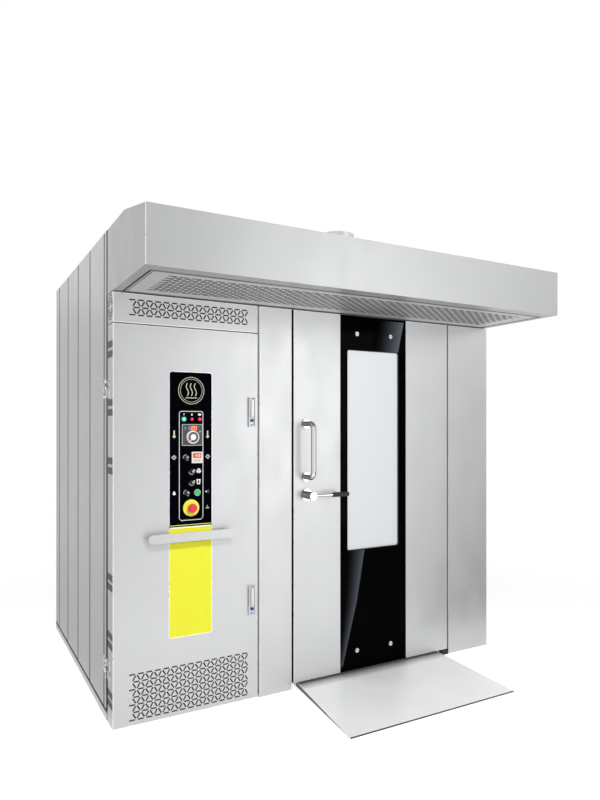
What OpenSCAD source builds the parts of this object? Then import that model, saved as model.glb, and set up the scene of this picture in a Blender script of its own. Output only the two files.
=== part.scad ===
// Hot-air rotary rack oven with steam: insulated chamber, side heater and control cabinet, hood and ramp.
// Millimetres. X runs to the right, Y to the rear and Z up, with the origin on the floor under the middle.

/* [Front layout] */
// Width of the control cabinet door
cabinet_w = 687; // [640:1:760]
// Width of the fixed column between the cabinet and the oven door
left_column_w = 177; // [160:1:240]
// Width of the oven door
door_w = 1003; // [960:1:1200]
// Width of the fixed column right of the oven door
right_column_w = 300; // [260:1:420]
// Gap beside the oven door
door_gap = 11.5; // [10:0.5:14]
// Seam between the cabinet door and the column
seam_w = 10; // [6:1:14]

/* [Body] */
// Depth of the body behind its front face
body_d = 1600; // [1550:10:1900]
// Height of the roof
body_h = 2185; // [2160:5:2300]
// Thickness of the insulated walls
wall_t = 120; // [110:2:150]
// Thickness of the sheet metal
sheet = 2; // [1.5:0.5:3]
// Depth of the folded edges of the cladding
fold = 20; // [14:1:24]
// Seam between two cladding panels
panel_seam = 4; // [2:0.5:8]
// Height of the base rails
rail_h = 40; // [30:1:60]
// Thickness of the chamber floor
floor_h = 25; // [20:1:34]
// Width of the narrow strip at the front of the left side
corner_strip_w = 53; // [40:1:90]
// Width of the narrow strip at the rear of the left side
rear_strip_w = 137; // [110:1:180]
// Number of wide cladding panels on each side
side_panels = 4; // [3:1:5]

/* [Hood] */
// Height of the hood's lower edge
hood_bottom = 1896; // [1880:1:1930]
// Reach of the hood in front of the body
hood_reach = 508; // [420:1:600]
// Height of the hood's front face
hood_front_h = 226; // [180:1:240]
// Where the hood's top starts to slope, in front of the body
hood_flat = 200; // [190:1:240]
// Width of the lip round the filter at the sides
hood_lip = 55; // [40:1:80]
// Width of the lip at the front of the filter
hood_front_lip = 90; // [60:1:110]
// Width of the lip at the rear of the filter
hood_rear_lip = 15; // [12:1:30]
// Length of a filter slot
filter_slot = 34; // [24:1:38]
// Width of a filter slot
filter_slot_w = 9; // [6:0.5:12]
// Distance from one filter slot to the next
filter_pitch = 50; // [46:1:60]
// Distance from one row of filter slots to the next
filter_row = 20.2; // [18:0.1:24]
// Diameter of the exhaust collar
collar_d = 166; // [140:2:170]
// Height of the exhaust collar above the roof
collar_h = 87; // [60:1:140]
// How far the collar's centre lies in front of the body
collar_y = 68; // [50:1:90]

/* [Control cabinet] */
// Height of the cabinet door's upper edge
cabinet_door_top = 1756; // [1700:1:1800]
// Gap between the cabinet door and the vent panel above it
cabinet_gap = 5; // [3:0.5:8]
// Height of the cabinet door's lower edge
cabinet_door_bottom = 5; // [4:1:12]
// Depth of the cabinet door
cabinet_door_d = 94; // [86:1:100]
// Depth of the cabinet behind its door
cabinet_d = 362; // [330:1:420]
// Side of one triangle in the vent pattern
vent_pitch = 38.2; // [34:0.1:39]
// Length of one vent slot
vent_slot = 24; // [18:0.5:28]
// Width of one vent slot
vent_slot_w = 5; // [3:0.5:7]
// Number of triangles along the vent pattern
vent_cols = 15; // [12:1:15]
// Height of one side slot
side_slot_h = 30; // [20:1:34]
// Distance between the pairs of side slots
side_slot_pitch = 254.5; // [240:0.5:262]

/* [Hinges and latches] */
// Height of a cabinet door hinge
hinge_h = 84; // [70:1:100]
// Diameter of a hinge knuckle
knuckle_d = 14; // [12:0.5:15]
// Diameter of a hinge pin
hinge_pin_d = 6; // [5:0.5:8]
// Height of the upper hinge's middle
upper_hinge_z = 1477; // [1460:1:1500]
// Height of the lower hinge's middle
lower_hinge_z = 238; // [225:1:250]
// Width of a latch plate
latch_w = 34; // [30:1:44]
// Height of a latch plate
latch_h = 142; // [130:1:170]
// Height of the upper latch's middle
upper_latch_z = 1379; // [1300:1:1450]
// Height of the lower latch's middle
lower_latch_z = 478; // [420:1:560]

/* [Control panel] */
// Width of the control panel and the strip below it
panel_w = 200; // [196:1:220]
// Height of the control panel's lower edge
panel_bottom = 855; // [845:1:880]
// Height of the control panel's upper edge
panel_top = 1556; // [1550:1:1600]
// Height of the coloured strip's lower edge
strip_bottom = 359; // [340:1:400]
// Side of the square temperature controller
controller_w = 98; // [96:1:100]
// Side of the square timer
timer_w = 52; // [48:1:56]
// Diameter of the temperature dial
dial_d = 60; // [50:1:64]
// Diameter of a selector knob
knob_d = 24; // [20:1:28]
// Diameter of the emergency stop's disc
stop_disc_d = 76; // [70:1:88]
// Diameter of the emergency stop's mushroom
stop_head_d = 41; // [32:1:44]
// Length of the rail bar
bar_w = 410; // [360:1:420]
// Height of the rail bar
bar_h = 40; // [34:1:44]
// How far the rail bar's face stands in front of the door
bar_reach = 40; // [34:1:50]

/* [Oven door] */
// Thickness of the oven door
door_t = 70; // [64:1:76]
// Width of the black glass
glass_w = 428; // [400:1:440]
// Width of the door's left metal panel
glass_x = 277; // [265:1:290]
// Width of the window
window_w = 338; // [300:1:344]
// Height of the window's lower edge
window_bottom = 657; // [600:1:700]
// Height of the window's upper edge
window_top = 1712; // [1600:1:1730]
// Diameter of the door's pivot pins
pivot_d = 16; // [14:1:20]
// Distance from the pivot to the door's edge and face
pivot_inset = 20; // [18:1:21]
// Diameter of the pull handle's tube
pull_d = 26; // [20:1:30]
// Distance between the pull handle's ends
pull_len = 267; // [240:1:300]
// Height of the pull handle's middle
pull_z = 1189; // [1180:1:1210]
// How far the pull handle's tube stands off the door
pull_reach = 80; // [70:1:90]
// Height of the lever
lever_z = 965; // [950:1:975]
// Length of the lever from its spindle
lever_len = 214; // [190:1:230]
// Diameter of the lever's spindle
spindle_d = 14; // [12:1:16]

/* [Ramp] */
// Reach of the ramp in front of the body
ramp_reach = 552; // [520:1:640]
// Width of the ramp at the door
ramp_w = 910; // [860:1:930]
// How much wider the ramp is at its front
ramp_flare = 60; // [0:1:80]

/* [Inside] */
// Diameter of the circulation fan
fan_d = 480; // [440:5:500]
// Diameter of the burner's drum
drum_d = 400; // [360:5:420]
// Diameter of the smoke tubes
tube_d = 60; // [50:1:66]
// Diameter of the rack drive's shaft
drive_d = 50; // [40:1:60]
// Diameter of the steam outlet
vent_d = 120; // [100:2:140]
// Diameter of the smoke outlet
flue_d = 180; // [150:2:200]

/* [Hidden] */
$fn = 48;

// Clearances
rest_gap = 0.3;
running = 0.05;
cut = 1;
hole_gap = 3;

// The front layout, from the body's left edge
column_x = cabinet_w + seam_w;
door_x = column_x + left_column_w + door_gap;
door_x1 = door_x + door_w;
right_column_x = door_x1 + door_gap;
body_w = right_column_x + right_column_w;
left = -body_w / 2;
front = (ramp_reach - body_d) / 2;

// Doors and their frames
door_z = floor_h + 6;
door_top = hood_bottom - 5;
skin_d = 8;
seal_t = 5.7;
seal_w = 12;
frame_y = door_t + rest_gap + seal_t;
liner_y = 100;
ramp_lip_y = 30;
jamb = 34;
swing_r = door_t - pivot_inset;
edge_cut = swing_r - sqrt(swing_r * swing_r - pivot_inset * pivot_inset);
opening_top = hood_bottom - 46;
rear_gap = 10;
face_y = cabinet_door_d + rest_gap;
side_front = cabinet_door_d + rear_gap * 2 + 2;
cabinet_x = fold + 2;
cabinet_x1 = cabinet_w + 3;
cabinet_y1 = liner_y + cabinet_d;
flange_w = 30;

// Chamber and heater compartment
inner_x = wall_t;
inner_x1 = body_w - wall_t;
inner_y1 = body_d - wall_t;
partition_x = cabinet_x1 + 70;
heater_y = cabinet_y1 + 98;
roof_space = 235;
roof_void = 105;
ceiling_z = body_h - roof_space;
void_z = body_h - roof_void;
carrier_x = (partition_x + inner_x1) / 2;
carrier_y = (liner_y + inner_y1) / 2;
heater_x = (inner_x + partition_x) / 2;
heater_z = 340;
fan_y = heater_y + 340;
fan_z = ceiling_z - 80;
blast_d = 130;
flue_x = inner_x + 190;
flue_y = inner_y1 - 110;
header_drop = 370;
header_z = fan_z - header_drop;
header_h = 70;
vent_x = inner_x1 - 280;
vent_y = inner_y1 - 200;
duct_wall = 2;
plate_z = body_h + 10;
socket_t = 3;
socket_h = 70;
damper_z = plate_z + 12;
damper_shaft_d = 8;
steam_socket_z = damper_z + 9;
water_x = partition_x - 140;
water_y = inner_y1 - 60;
water_d = 22;

// Burner, motors and gear
burner_w = 260;
burner_d = 210;
burner_h = 220;
burner_gap = 30;
blower_d = 180;
blower_w = 340;
blower_y = 130;
blower_drop = 60;
throat_d = 100;
throat_len = 40;
blast_flange = 90;
blast_flange_t = 8;
blast_reach = 60;
motor_base = 260;
motor_base_t = 10;
motor_d = 170;
motor_h = 180;
fan_shaft_d = 30;
fan_shaft_seat = 58;
gear_base_w = 300;
gear_base_d = 220;
gear_w = 160;
gear_h = 150;
gear_motor_d = 130;
gear_motor_len = 230;
drive_seat = 98;
yoke_drop = 110;
yoke_depth = 90;
yoke_lip = 60;
lamp_inset = 120;
hinge_leaf = 78;

// Steam generator and electrical plate
steamer_gap = 30;
steamer_w = 290;
steamer_d = 140;
steamer_h = 1355;
steamer_wall = 6;
steam_rod_d = 70;
steam_rod_z = 200;
steam_rod_pitch = 160;
devices_x = 100;
devices_w = 460;
devices_drop = 156;
devices_h = 700;
device_w = 64;
device_h = 90;
device_d = 80;
device_pitch = 84;
device_row = 200;

// Hood
hood_back = liner_y + 4;
hood_top_z = hood_bottom + hood_front_h;
filter_gap = 3;
filter_rim = 12;
collar_wall = 3;
rotor_d = collar_d - 16;

// Cabinet door fittings
latch_x = cabinet_w - 16.5 - latch_w;
knuckle_y = liner_y + 4;
knuckle_x = -knuckle_d / 2 - 1;
leaf_t = 3;
slot_z0 = 120.5;
slot_gap = 13;
fan_grille_d = 82;
grille_w = 89;
grille_h = 115;
grille_ring = 5.5;
grille_z = (cabinet_door_top + cabinet_gap + hood_bottom) / 2 + 2;
vent_x0 = 64;
bottom_vent_z = 29;
bottom_bands = 6;
top_bands = 2;
row_h = vent_pitch * sqrt(3) / 2;
top_vent_z = grille_z - row_h;

// Control panel, measured from the panel's middle line
plate_t = 3;
panel_x = 350;
instrument_t = 9;
lamp_d = 15;
lamp_z = 1343;
lamp_pitch = 37.5;
controller_x = panel_x + 4;
controller_z = 1271;
timer_x = panel_x + 27;
timer_z = 1168;
dial_z = controller_z - 10;
dial_t = 12;
stem_d = 8;
knob_x = [-24, 4, 4, -21];
knob_z = [1167, 1104, 1054, 1007];
knob_t = 8;
start_x = panel_x + 30;
start_z = 1007;
start_d = 24;
stop_z = 939;
stop_disc_t = 4;
peg_d = 14;
peg_pitch = 300;
bar_t = 6;
bar_z = 813.5;
latch_plate_t = 4;
latch_rim = 8;
lever_t = 6;
latch_pin_d = 4;
button_d = 17;
button_drop = 41;
latch_pin_y = -8;
latch_pin_z = latch_h / 2 - 10;

// Oven door fittings
glass_x0 = door_x + glass_x;
window_x = glass_x0 + glass_w / 2 - 2;
screw_d = 22;
screw_pitch = 219;
screw_low = 130;
screw_high = 1796;
pane_t = 6;
pane_edge = 10;
pivot_x = door_x1 - pivot_inset;
pull_x = door_x + 68;
pull_r = 32;
lever_x = door_x + 72;
lever_y = -62;
hub_d = 40;
hub_len = 74;
neck_d = 13;
grip_d = 24;
grip_len = 97;
bolt_h = 20;
bolt_reach = 6;
bolt_len = 60;
bolt_y = 30;
pane_rebate = 4;
screw_hole_d = 10;
rosette_t = 8;
pull_rosette_d = 46;
lever_rosette_d = 62;
bracket_w = 14;

// A cuboid from its lowest to its highest corner
module block(lo, hi) {
    translate(lo) cube(hi - lo);
}

// Moves from the body's front left corner on the floor to the origin
module from_corner() {
    translate([left, front, 0]) children();
}

// A cylinder along Y that starts at its front end
module rod_y(x, y, z, d, len) {
    translate([x, y, z]) rotate([-90, 0, 0]) cylinder(d = d, h = len);
}

// A cylinder along X that starts at its left end
module rod_x(x, y, z, d, len) {
    translate([x, y, z]) rotate([0, 90, 0]) cylinder(d = d, h = len);
}

// A rectangle with round corners, centred
module round_rect(w, h, r) {
    square([w - 2 * r, h], center = true);
    square([w, h - 2 * r], center = true);
    for (sx = [-1, 1]) {
        for (sy = [-1, 1]) translate([sx * (w / 2 - r), sy * (h / 2 - r)]) circle(r = r);
    }
}

// A flat plate in the XZ plane whose front is at y, made from a centred 2D shape
module upright(x, y, z, t) {
    translate([x, y + t, z]) rotate([90, 0, 0]) linear_extrude(height = t) children();
}

// A sheet metal pan with its face to the front and its open side to the rear
module pan(w, d, h) {
    difference() {
        cube([w, d, h]);
        translate([sheet, sheet, sheet]) cube([w - 2 * sheet, d, h - 2 * sheet]);
    }
}

// The inward flange at the rear of a deep pan
module pan_flange(w, d, h) {
    translate([0, d - sheet, 0]) difference() {
        cube([w, sheet, h]);
        translate([flange_w, -cut, flange_w]) cube([w - 2 * flange_w, sheet + 2 * cut, h - 2 * flange_w]);
    }
}

// Short slots along the edges of a triangular grid, in the XZ plane
module triangle_slots(cols, bands) {
    for (r = [0:bands]) {
        odd = r % 2;
        for (i = [0:cols - 1 - odd]) {
            translate([(i + 0.5 + odd / 2) * vent_pitch, r * row_h])
                square([vent_slot, vent_slot_w], center = true);
        }
    }
    for (r = [0:bands - 1]) {
        lean = r % 2 == 0 ? 60 : -60;
        for (i = [0:cols - 1]) {
            mid = (i + 0.75) * vent_pitch;
            translate([mid, (r + 0.5) * row_h]) rotate(-lean)
                square([vent_slot, vent_slot_w], center = true);
            if (i > 0) translate([mid - vent_pitch / 2, (r + 0.5) * row_h]) rotate(lean)
                square([vent_slot, vent_slot_w], center = true);
        }
    }
}

// Four upright posts of the welded frame, joined by a ring under the roof
module posts() {
    post = 40;
    x1 = body_w - fold - post;
    y0 = cabinet_y1 + 10;
    y1 = body_d - fold - post;
    top = body_h - sheet;
    for (x = [fold, x1]) {
        for (y = [y0, y1]) block([x, y, rail_h], [x + post, y + post, top]);
        block([x, y0, top - post], [x + post, y1, top]);
    }
    for (y = [y0, y1]) block([fold, y, top - post], [x1, y + post, top]);
}

module base_frame() {
    edge = wall_t - sheet;
    rail = 40;
    color("dimgray") from_corner() {
        difference() {
            block([0, side_front, 0], [body_w, body_d, rail_h]);
            block([edge, side_front - cut, -cut], [body_w - edge, body_d - edge, rail_h + cut]);
        }
        block([edge, side_front, 0], [cabinet_x1, side_front + rail, rail_h]);
        block([edge, cabinet_y1 - rail, 0], [partition_x - sheet, heater_y - sheet, rail_h]);
        block([cabinet_x1 - rail, side_front, 0], [partition_x - sheet, cabinet_y1, rail_h]);
        posts();
    }
}

// The floor slab with the sill under the door
module floor_plate() {
    color("silver") from_corner() linear_extrude(height = floor_h) {
        chamber_plan(sheet);
        translate([door_x + jamb, ramp_lip_y]) square([door_w - 2 * jamb, liner_y - ramp_lip_y]);
    }
}

// Cladding pans of the two sides and the rear, with a seam between neighbours
module wall_panels() {
    z0 = rail_h + panel_seam;
    h = body_h - sheet - z0;
    wide = (body_d - rear_strip_w - side_front - corner_strip_w) / side_panels;
    side_w = (body_d - side_front) / side_panels;
    rear_n = side_panels + 2;
    rear_w = (body_w - 2 * fold) / rear_n;
    color("lightgray") from_corner() {
        left_pan(side_front, corner_strip_w, z0, h);
        for (i = [0:side_panels - 1]) left_pan(side_front + corner_strip_w + i * wide, wide, z0, h);
        left_pan(body_d - rear_strip_w, rear_strip_w, z0, h);
        for (i = [0:side_panels - 1]) {
            translate([body_w, side_front + i * side_w, z0]) rotate(90) pan(side_w - panel_seam, fold, h);
        }
        for (i = [0:rear_n - 1]) {
            x1 = fold + (i + 1) * rear_w - panel_seam / 2;
            translate([x1, body_d, z0]) rotate(180) pan(rear_w - panel_seam, fold, h);
        }
    }
}

// One cladding pan on the left side, from y to y + w less the seam
module left_pan(y, w, z, h) {
    translate([0, y + w - panel_seam, z]) rotate(-90) pan(w - panel_seam, fold, h);
}

// One sheet of the roof, counted from the left, with the holes that fall in it
module roof_sheet(i) {
    roof_w = body_w / (side_panels + 1);
    z = body_h - sheet;
    color("lightgray") from_corner() difference() {
        block([i * roof_w, hood_back, z], [(i + 1) * roof_w - panel_seam, body_d, body_h]);
        translate([0, 0, z - cut]) roof_holes(sheet + 2 * cut);
    }
}

// The leftmost sheet of the roof, which the smoke pipe passes
module flue_roof_panel() {
    roof_sheet(0);
}

module roof_panels() {
    for (i = [1:side_panels]) roof_sheet(i);
}

// Everything that passes up through the ceiling and the roof
module roof_holes(h) {
    translate([heater_x, fan_y, 0]) cylinder(d = drive_d + 2 * hole_gap, h = h);
    translate([carrier_x, carrier_y, 0]) cylinder(d = drive_d + 2 * hole_gap, h = h);
    translate([flue_x, flue_y, 0]) cylinder(d = flue_d + 2 * rest_gap, h = h);
    translate([vent_x, vent_y, 0]) cylinder(d = vent_d + 2 * rest_gap, h = h);
    translate([water_x, water_y, 0]) cylinder(d = water_d + 2 * rest_gap, h = h);
}

module insulation() {
    edge = wall_t - sheet;
    color("khaki") from_corner() difference() {
        union() {
            block([fold, cabinet_y1, rail_h], [edge, body_d - fold, void_z]);
            block([edge, inner_y1 + sheet, rail_h], [body_w - edge, body_d - fold, void_z]);
            block([body_w - edge, side_front, rail_h], [body_w - fold, body_d - fold, void_z]);
            block([edge, cabinet_y1, rail_h], [partition_x - sheet, heater_y - sheet, void_z]);
            block([cabinet_x1, liner_y, rail_h], [partition_x - sheet, cabinet_y1, void_z]);
            block([partition_x - sheet, side_front, ceiling_z + sheet],
                [body_w - edge, inner_y1 + sheet, void_z]);
            block([edge, cabinet_y1, ceiling_z + sheet], [partition_x, inner_y1 + sheet, void_z]);
        }
        posts();
        translate([0, 0, ceiling_z - cut]) roof_holes(body_h);
        rod_y(heater_x, cabinet_y1 - cut, heater_z, blast_d + 2 * hole_gap, wall_t);
    }
}

// The plan of the chamber and the heater compartment, grown outward by t
module chamber_plan(t) {
    polygon([
        [inner_x - t, heater_y - t], [partition_x - t, heater_y - t], [partition_x - t, liner_y],
        [inner_x1 + t, liner_y], [inner_x1 + t, inner_y1 + t], [inner_x - t, inner_y1 + t]
    ]);
}

module chamber_liner() {
    color("silver") from_corner() difference() {
        translate([0, 0, floor_h]) linear_extrude(height = ceiling_z + sheet - floor_h) chamber_plan(sheet);
        translate([0, 0, floor_h - cut]) linear_extrude(height = ceiling_z - floor_h + cut) difference() {
            chamber_plan(0);
            square([body_w, liner_y + sheet]);
        }
        block([door_x + jamb, 0, 0], [door_x1 - jamb, liner_y + 2 * sheet, opening_top]);
        translate([0, 0, ceiling_z - cut]) roof_holes(sheet + 2 * cut);
        rod_y(heater_x, cabinet_y1, heater_z, blast_d + 2 * hole_gap, wall_t);
    }
}

// The slotted wall that blows hot air from the heater compartment into the chamber
module duct_panel() {
    rows = 12;
    slot = 90;
    pitch_z = (ceiling_z - 300) / rows;
    color("silver") from_corner() difference() {
        block([partition_x - sheet, heater_y, floor_h], [partition_x, inner_y1, ceiling_z]);
        for (y = [heater_y + 150, (heater_y + inner_y1) / 2, inner_y1 - 150]) {
            for (i = [0:rows - 1]) {
                z = 160 + i * pitch_z;
                block([partition_x - 3 * sheet, y - 20, z], [partition_x + sheet, y + 20, z + slot]);
            }
        }
    }
}

module front_columns() {
    color("gainsboro") from_corner() {
        translate([column_x, 0, 0]) pan(left_column_w, liner_y, door_top);
        translate([right_column_x, 0, 0]) pan(right_column_w, liner_y, door_top);
        block([body_w - sheet, liner_y - cut, 0], [body_w, side_front - panel_seam, door_top]);
        block([body_w - sheet, hood_back, door_top - cut],
            [body_w, side_front - panel_seam, body_h - sheet]);
    }
}

// The door's frame and the header behind the hood
module front_frame() {
    color("gray") from_corner() {
        difference() {
            block([door_x - door_gap, frame_y, 0], [right_column_x, liner_y, hood_bottom]);
            block([door_x + jamb, frame_y - cut, -cut], [door_x1 - jamb, liner_y + cut, opening_top]);
        }
        translate([sheet, 0, hood_bottom]) pan(body_w - 2 * sheet, liner_y, body_h - sheet - hood_bottom);
    }
}

module door_seal() {
    out = jamb - 2;
    in = out - seal_w;
    color("black") from_corner() difference() {
        block([door_x + in, frame_y - seal_t, floor_h], [door_x1 - in, frame_y, opening_top + 2 + seal_w]);
        block([door_x + out, 0, 0], [door_x1 - out, frame_y + cut, opening_top + 2]);
    }
}

// Fixed pins above and below the door, the lower one on its bracket
module door_pivots() {
    pin_in = 30;
    color("silver") from_corner() {
        translate([pivot_x, pivot_inset, door_top - pin_in])
            cylinder(d = pivot_d, h = hood_bottom - door_top + pin_in);
        translate([pivot_x, pivot_inset, 0]) cylinder(d = pivot_d, h = door_z + pin_in);
        block([pivot_x - bracket_w, sheet, 0], [right_column_x, ramp_lip_y, floor_h]);
    }
}

// The ramp's plan, drawn in by t at its two sides
module ramp_plan(t) {
    mid = (door_x + door_x1) / 2 - 18;
    polygon([
        [mid - ramp_w / 2 + t, ramp_lip_y + t], [mid - ramp_w / 2 - ramp_flare + t, -ramp_reach - t],
        [mid + ramp_w / 2 - t, -ramp_reach - t], [mid + ramp_w / 2 - t, ramp_lip_y + t]
    ]);
}

// A sloping plate with a skirt along each side, kept clear of the door's lower pivot bracket
module ramp() {
    plate = 3;
    x1 = right_column_x;
    color("silver") from_corner() difference() {
        intersection() {
            union() {
                wedge(0, x1, [
                    [-ramp_reach, 0], [ramp_lip_y, floor_h - plate],
                    [ramp_lip_y, floor_h], [-ramp_reach, plate]
                ]);
                difference() {
                    wedge(0, x1, [
                        [-ramp_reach, 0], [ramp_lip_y, 0], [ramp_lip_y, floor_h], [-ramp_reach, plate]
                    ]);
                    translate([0, 0, -cut]) linear_extrude(height = floor_h + 2 * cut) ramp_plan(plate);
                }
            }
            linear_extrude(height = floor_h) ramp_plan(0);
        }
        block([pivot_x - bracket_w - hole_gap, -cut, -cut], [body_w, ramp_lip_y + cut, floor_h + cut]);
    }
}

// A prism along X from a profile in Y and Z
module wedge(x0, x1, profile) {
    translate([x0, 0, 0]) rotate([90, 0, 90]) linear_extrude(height = x1 - x0) polygon(profile);
}

module hood_shell() {
    reach = hood_reach;
    top = body_h;
    slope_end = -hood_flat;
    color("lightgray") from_corner() difference() {
        wedge(0, body_w, [
            [-reach, hood_bottom], [hood_back, hood_bottom], [hood_back, top],
            [slope_end, top], [-reach, hood_top_z]
        ]);
        wedge(sheet, body_w - sheet, [
            [sheet - reach, hood_bottom + sheet], [0, hood_bottom + sheet], [0, top - sheet],
            [slope_end, top - sheet], [sheet - reach, hood_top_z - sheet]
        ]);
        block([sheet, 0, 0], [body_w - sheet, hood_back + cut, top - sheet]);
        block([hood_lip, hood_front_lip - reach, 0],
            [body_w - hood_lip, -hood_rear_lip, hood_bottom + 2 * sheet]);
        translate([body_w / 2, -collar_y, top - 2 * sheet]) cylinder(d = collar_d, h = 4 * sheet);
    }
}

// A slotted tray that hangs in the hood's lower opening by its rim
module hood_filter() {
    y0 = hood_front_lip - hood_reach + filter_gap;
    y1 = -hood_rear_lip - filter_gap;
    x0 = hood_lip + filter_gap;
    x1 = body_w - hood_lip - filter_gap;
    rim = min(filter_rim, hood_rear_lip - 1) + filter_gap;
    side = 70;
    rows = floor((y1 - y0 - 80) / filter_row);
    cols = floor((x1 - x0 - 2 * side + filter_pitch - filter_slot) / filter_pitch);
    color("darkgray") from_corner() {
        translate([0, 0, hood_bottom]) linear_extrude(height = sheet) difference() {
            translate([x0, y0]) square([x1 - x0, y1 - y0]);
            for (r = [0:rows - 1]) {
                shift = (r % 2) * filter_pitch / 2;
                for (i = [0:cols - 1 - r % 2]) {
                    translate([x0 + side + shift + i * filter_pitch, y0 + 41.5 + r * filter_row])
                        square([filter_slot, filter_slot_w]);
                }
            }
        }
        difference() {
            block([x0, y0, hood_bottom + sheet], [x1, y1, hood_bottom + 2 * sheet]);
            block([x0 + sheet, y0 + sheet, 0], [x1 - sheet, y1 - sheet, body_h]);
        }
        difference() {
            block([x0 - rim, y0 - rim, hood_bottom + sheet], [x1 + rim, y1 + rim, hood_bottom + 2 * sheet]);
            block([x0, y0, 0], [x1, y1, body_h]);
        }
    }
}

// The collar on the hood's top, with the fan's motor held on a bar inside it
module exhaust_collar() {
    motor_d = 50;
    bar = 6;
    color("lightgray") from_corner() translate([body_w / 2, -collar_y, body_h]) {
        difference() {
            union() {
                cylinder(d = collar_d, h = collar_h);
                cylinder(d = collar_d + 40, h = sheet);
            }
            translate([0, 0, -cut]) cylinder(d = collar_d - 2 * collar_wall, h = collar_h + 2 * cut);
        }
        difference() {
            union() {
                translate([-collar_d / 2 + 1, -bar / 2, 40]) cube([collar_d - 2, bar, 20]);
                translate([0, 0, 36]) cylinder(d = motor_d, h = 34);
            }
            translate([0, 0, 36 - cut]) cylinder(d = 8 + 2 * running, h = 20 + cut);
        }
    }
}

module hood_fan() {
    blades = 6;
    color("dimgray") from_corner() translate([body_w / 2, -collar_y, body_h]) {
        cylinder(d = 40, h = 28);
        cylinder(d = 8, h = 55);
        for (i = [0:blades - 1]) rotate(i * 360 / blades)
            translate([18, 0, 14]) rotate([35, 0, 0]) translate([0, -15, -1])
                cube([rotor_d / 2 - 19, 30, 2]);
    }
}

// The cabinet's side walls, floor, shelf and top, with the strip that closes the seam beside its door
module control_cabinet() {
    h = hood_bottom - sheet;
    color("silver") from_corner() difference() {
        block([cabinet_x, face_y, rail_h], [cabinet_x1, cabinet_y1 - sheet, h]);
        block([cabinet_x + sheet, 0, rail_h + sheet], [cabinet_x1 - sheet, body_d, cabinet_door_top]);
        block([cabinet_x + sheet, 0, cabinet_door_top + sheet], [cabinet_x1 - sheet, body_d, h - sheet]);
    }
    color("silver") from_corner()
        block([cabinet_x1 - 1, liner_y - sheet, rail_h], [column_x, liner_y, h]);
}

// The cabinet's rear wall, which the burner's blast tube passes
module cabinet_back() {
    y0 = cabinet_y1 - sheet;
    color("silver") from_corner() difference() {
        block([cabinet_x, y0, rail_h], [cabinet_x1, cabinet_y1, hood_bottom - sheet]);
        rod_y(heater_x, y0 - cut, heater_z, blast_d + 2 * hole_gap, sheet + 2 * cut);
    }
}

// The fixed panel over the cabinet door, with a fan grille in its side
module top_vent_panel() {
    z0 = cabinet_door_top + cabinet_gap;
    h = door_top - z0;
    d = face_y;
    color("gainsboro") from_corner() {
        difference() {
            translate([0, 0, z0]) pan(cabinet_w, d, h);
            translate([vent_x0, sheet + cut, top_vent_z]) rotate([90, 0, 0])
                linear_extrude(height = sheet + 2 * cut) triangle_slots(vent_cols, top_bands);
            grille_cut();
        }
        translate([0, 0, z0]) pan_flange(cabinet_w, d, h);
        fan_cowl();
    }
}

// An oval that is w wide and h high, with its height along X
module oval(w, h) {
    sides = 40;
    polygon([for (i = [0:sides - 1]) [h / 2 * cos(i * 360 / sides), w / 2 * sin(i * 360 / sides)]]);
}

// Three oval rings of slots in the left side of the vent panel, with a bridge across their middle
module grille_cut() {
    rings = 3;
    bridge = 8;
    inset = grille_w * 0.243;
    translate([-cut, cabinet_door_d / 2, grille_z]) rotate([0, 90, 0]) {
        linear_extrude(height = sheet + 2 * cut) for (k = [0:rings - 1]) difference() {
            oval(grille_w - k * inset, grille_h - k * inset * grille_h / grille_w);
            oval(grille_w - k * inset - 2 * grille_ring, grille_h - k * inset * grille_h / grille_w - 2 * grille_ring);
            square([bridge, grille_w], center = true);
        }
    }
}

// The tube round the cooling fan, with a bar that holds the rotor's pin
module fan_cowl() {
    depth = 30;
    translate([sheet, cabinet_door_d / 2, grille_z]) rotate([0, 90, 0]) {
        difference() {
            cylinder(d = fan_grille_d + 4, h = depth);
            translate([0, 0, -cut]) cylinder(d = fan_grille_d, h = depth + 2 * cut);
        }
        difference() {
            translate([-fan_grille_d / 2 - 1, -5, depth - 4]) cube([fan_grille_d + 2, 10, 4]);
            translate([0, 0, depth - 5]) cylinder(d = 4 + 2 * running, h = 6);
        }
    }
}

module cooling_fan() {
    blades = 7;
    color("black") from_corner() translate([sheet + 5, cabinet_door_d / 2, grille_z]) rotate([0, 90, 0]) {
        cylinder(d = 34, h = 18);
        cylinder(d = 4, h = 24);
        for (i = [0:blades - 1]) rotate(i * 360 / blades)
            translate([14, 0, 9]) rotate([40, 0, 0]) translate([0, -9, -1])
                cube([fan_grille_d / 2 - 18, 18, 2]);
    }
}

// The mounting plate with its contactors and terminal block
module electrical_plate() {
    y = cabinet_y1 - sheet;
    x0 = cabinet_x + devices_x;
    z1 = cabinet_door_top - devices_drop;
    plate = 3;
    per_row = 5;
    margin = (devices_w - (per_row - 1) * device_pitch - device_w) / 2;
    color("silver") from_corner() {
        block([x0, y - plate, z1 - devices_h], [x0 + devices_w, y, z1]);
    }
    color("dimgray") from_corner() for (row = [1:3]) {
        for (i = [0:per_row - 1]) {
            x = x0 + margin + i * device_pitch;
            z = z1 - row * device_row;
            block([x, y - plate - device_d, z], [x + device_w, y - plate - rest_gap, z + device_h]);
        }
    }
}

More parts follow.
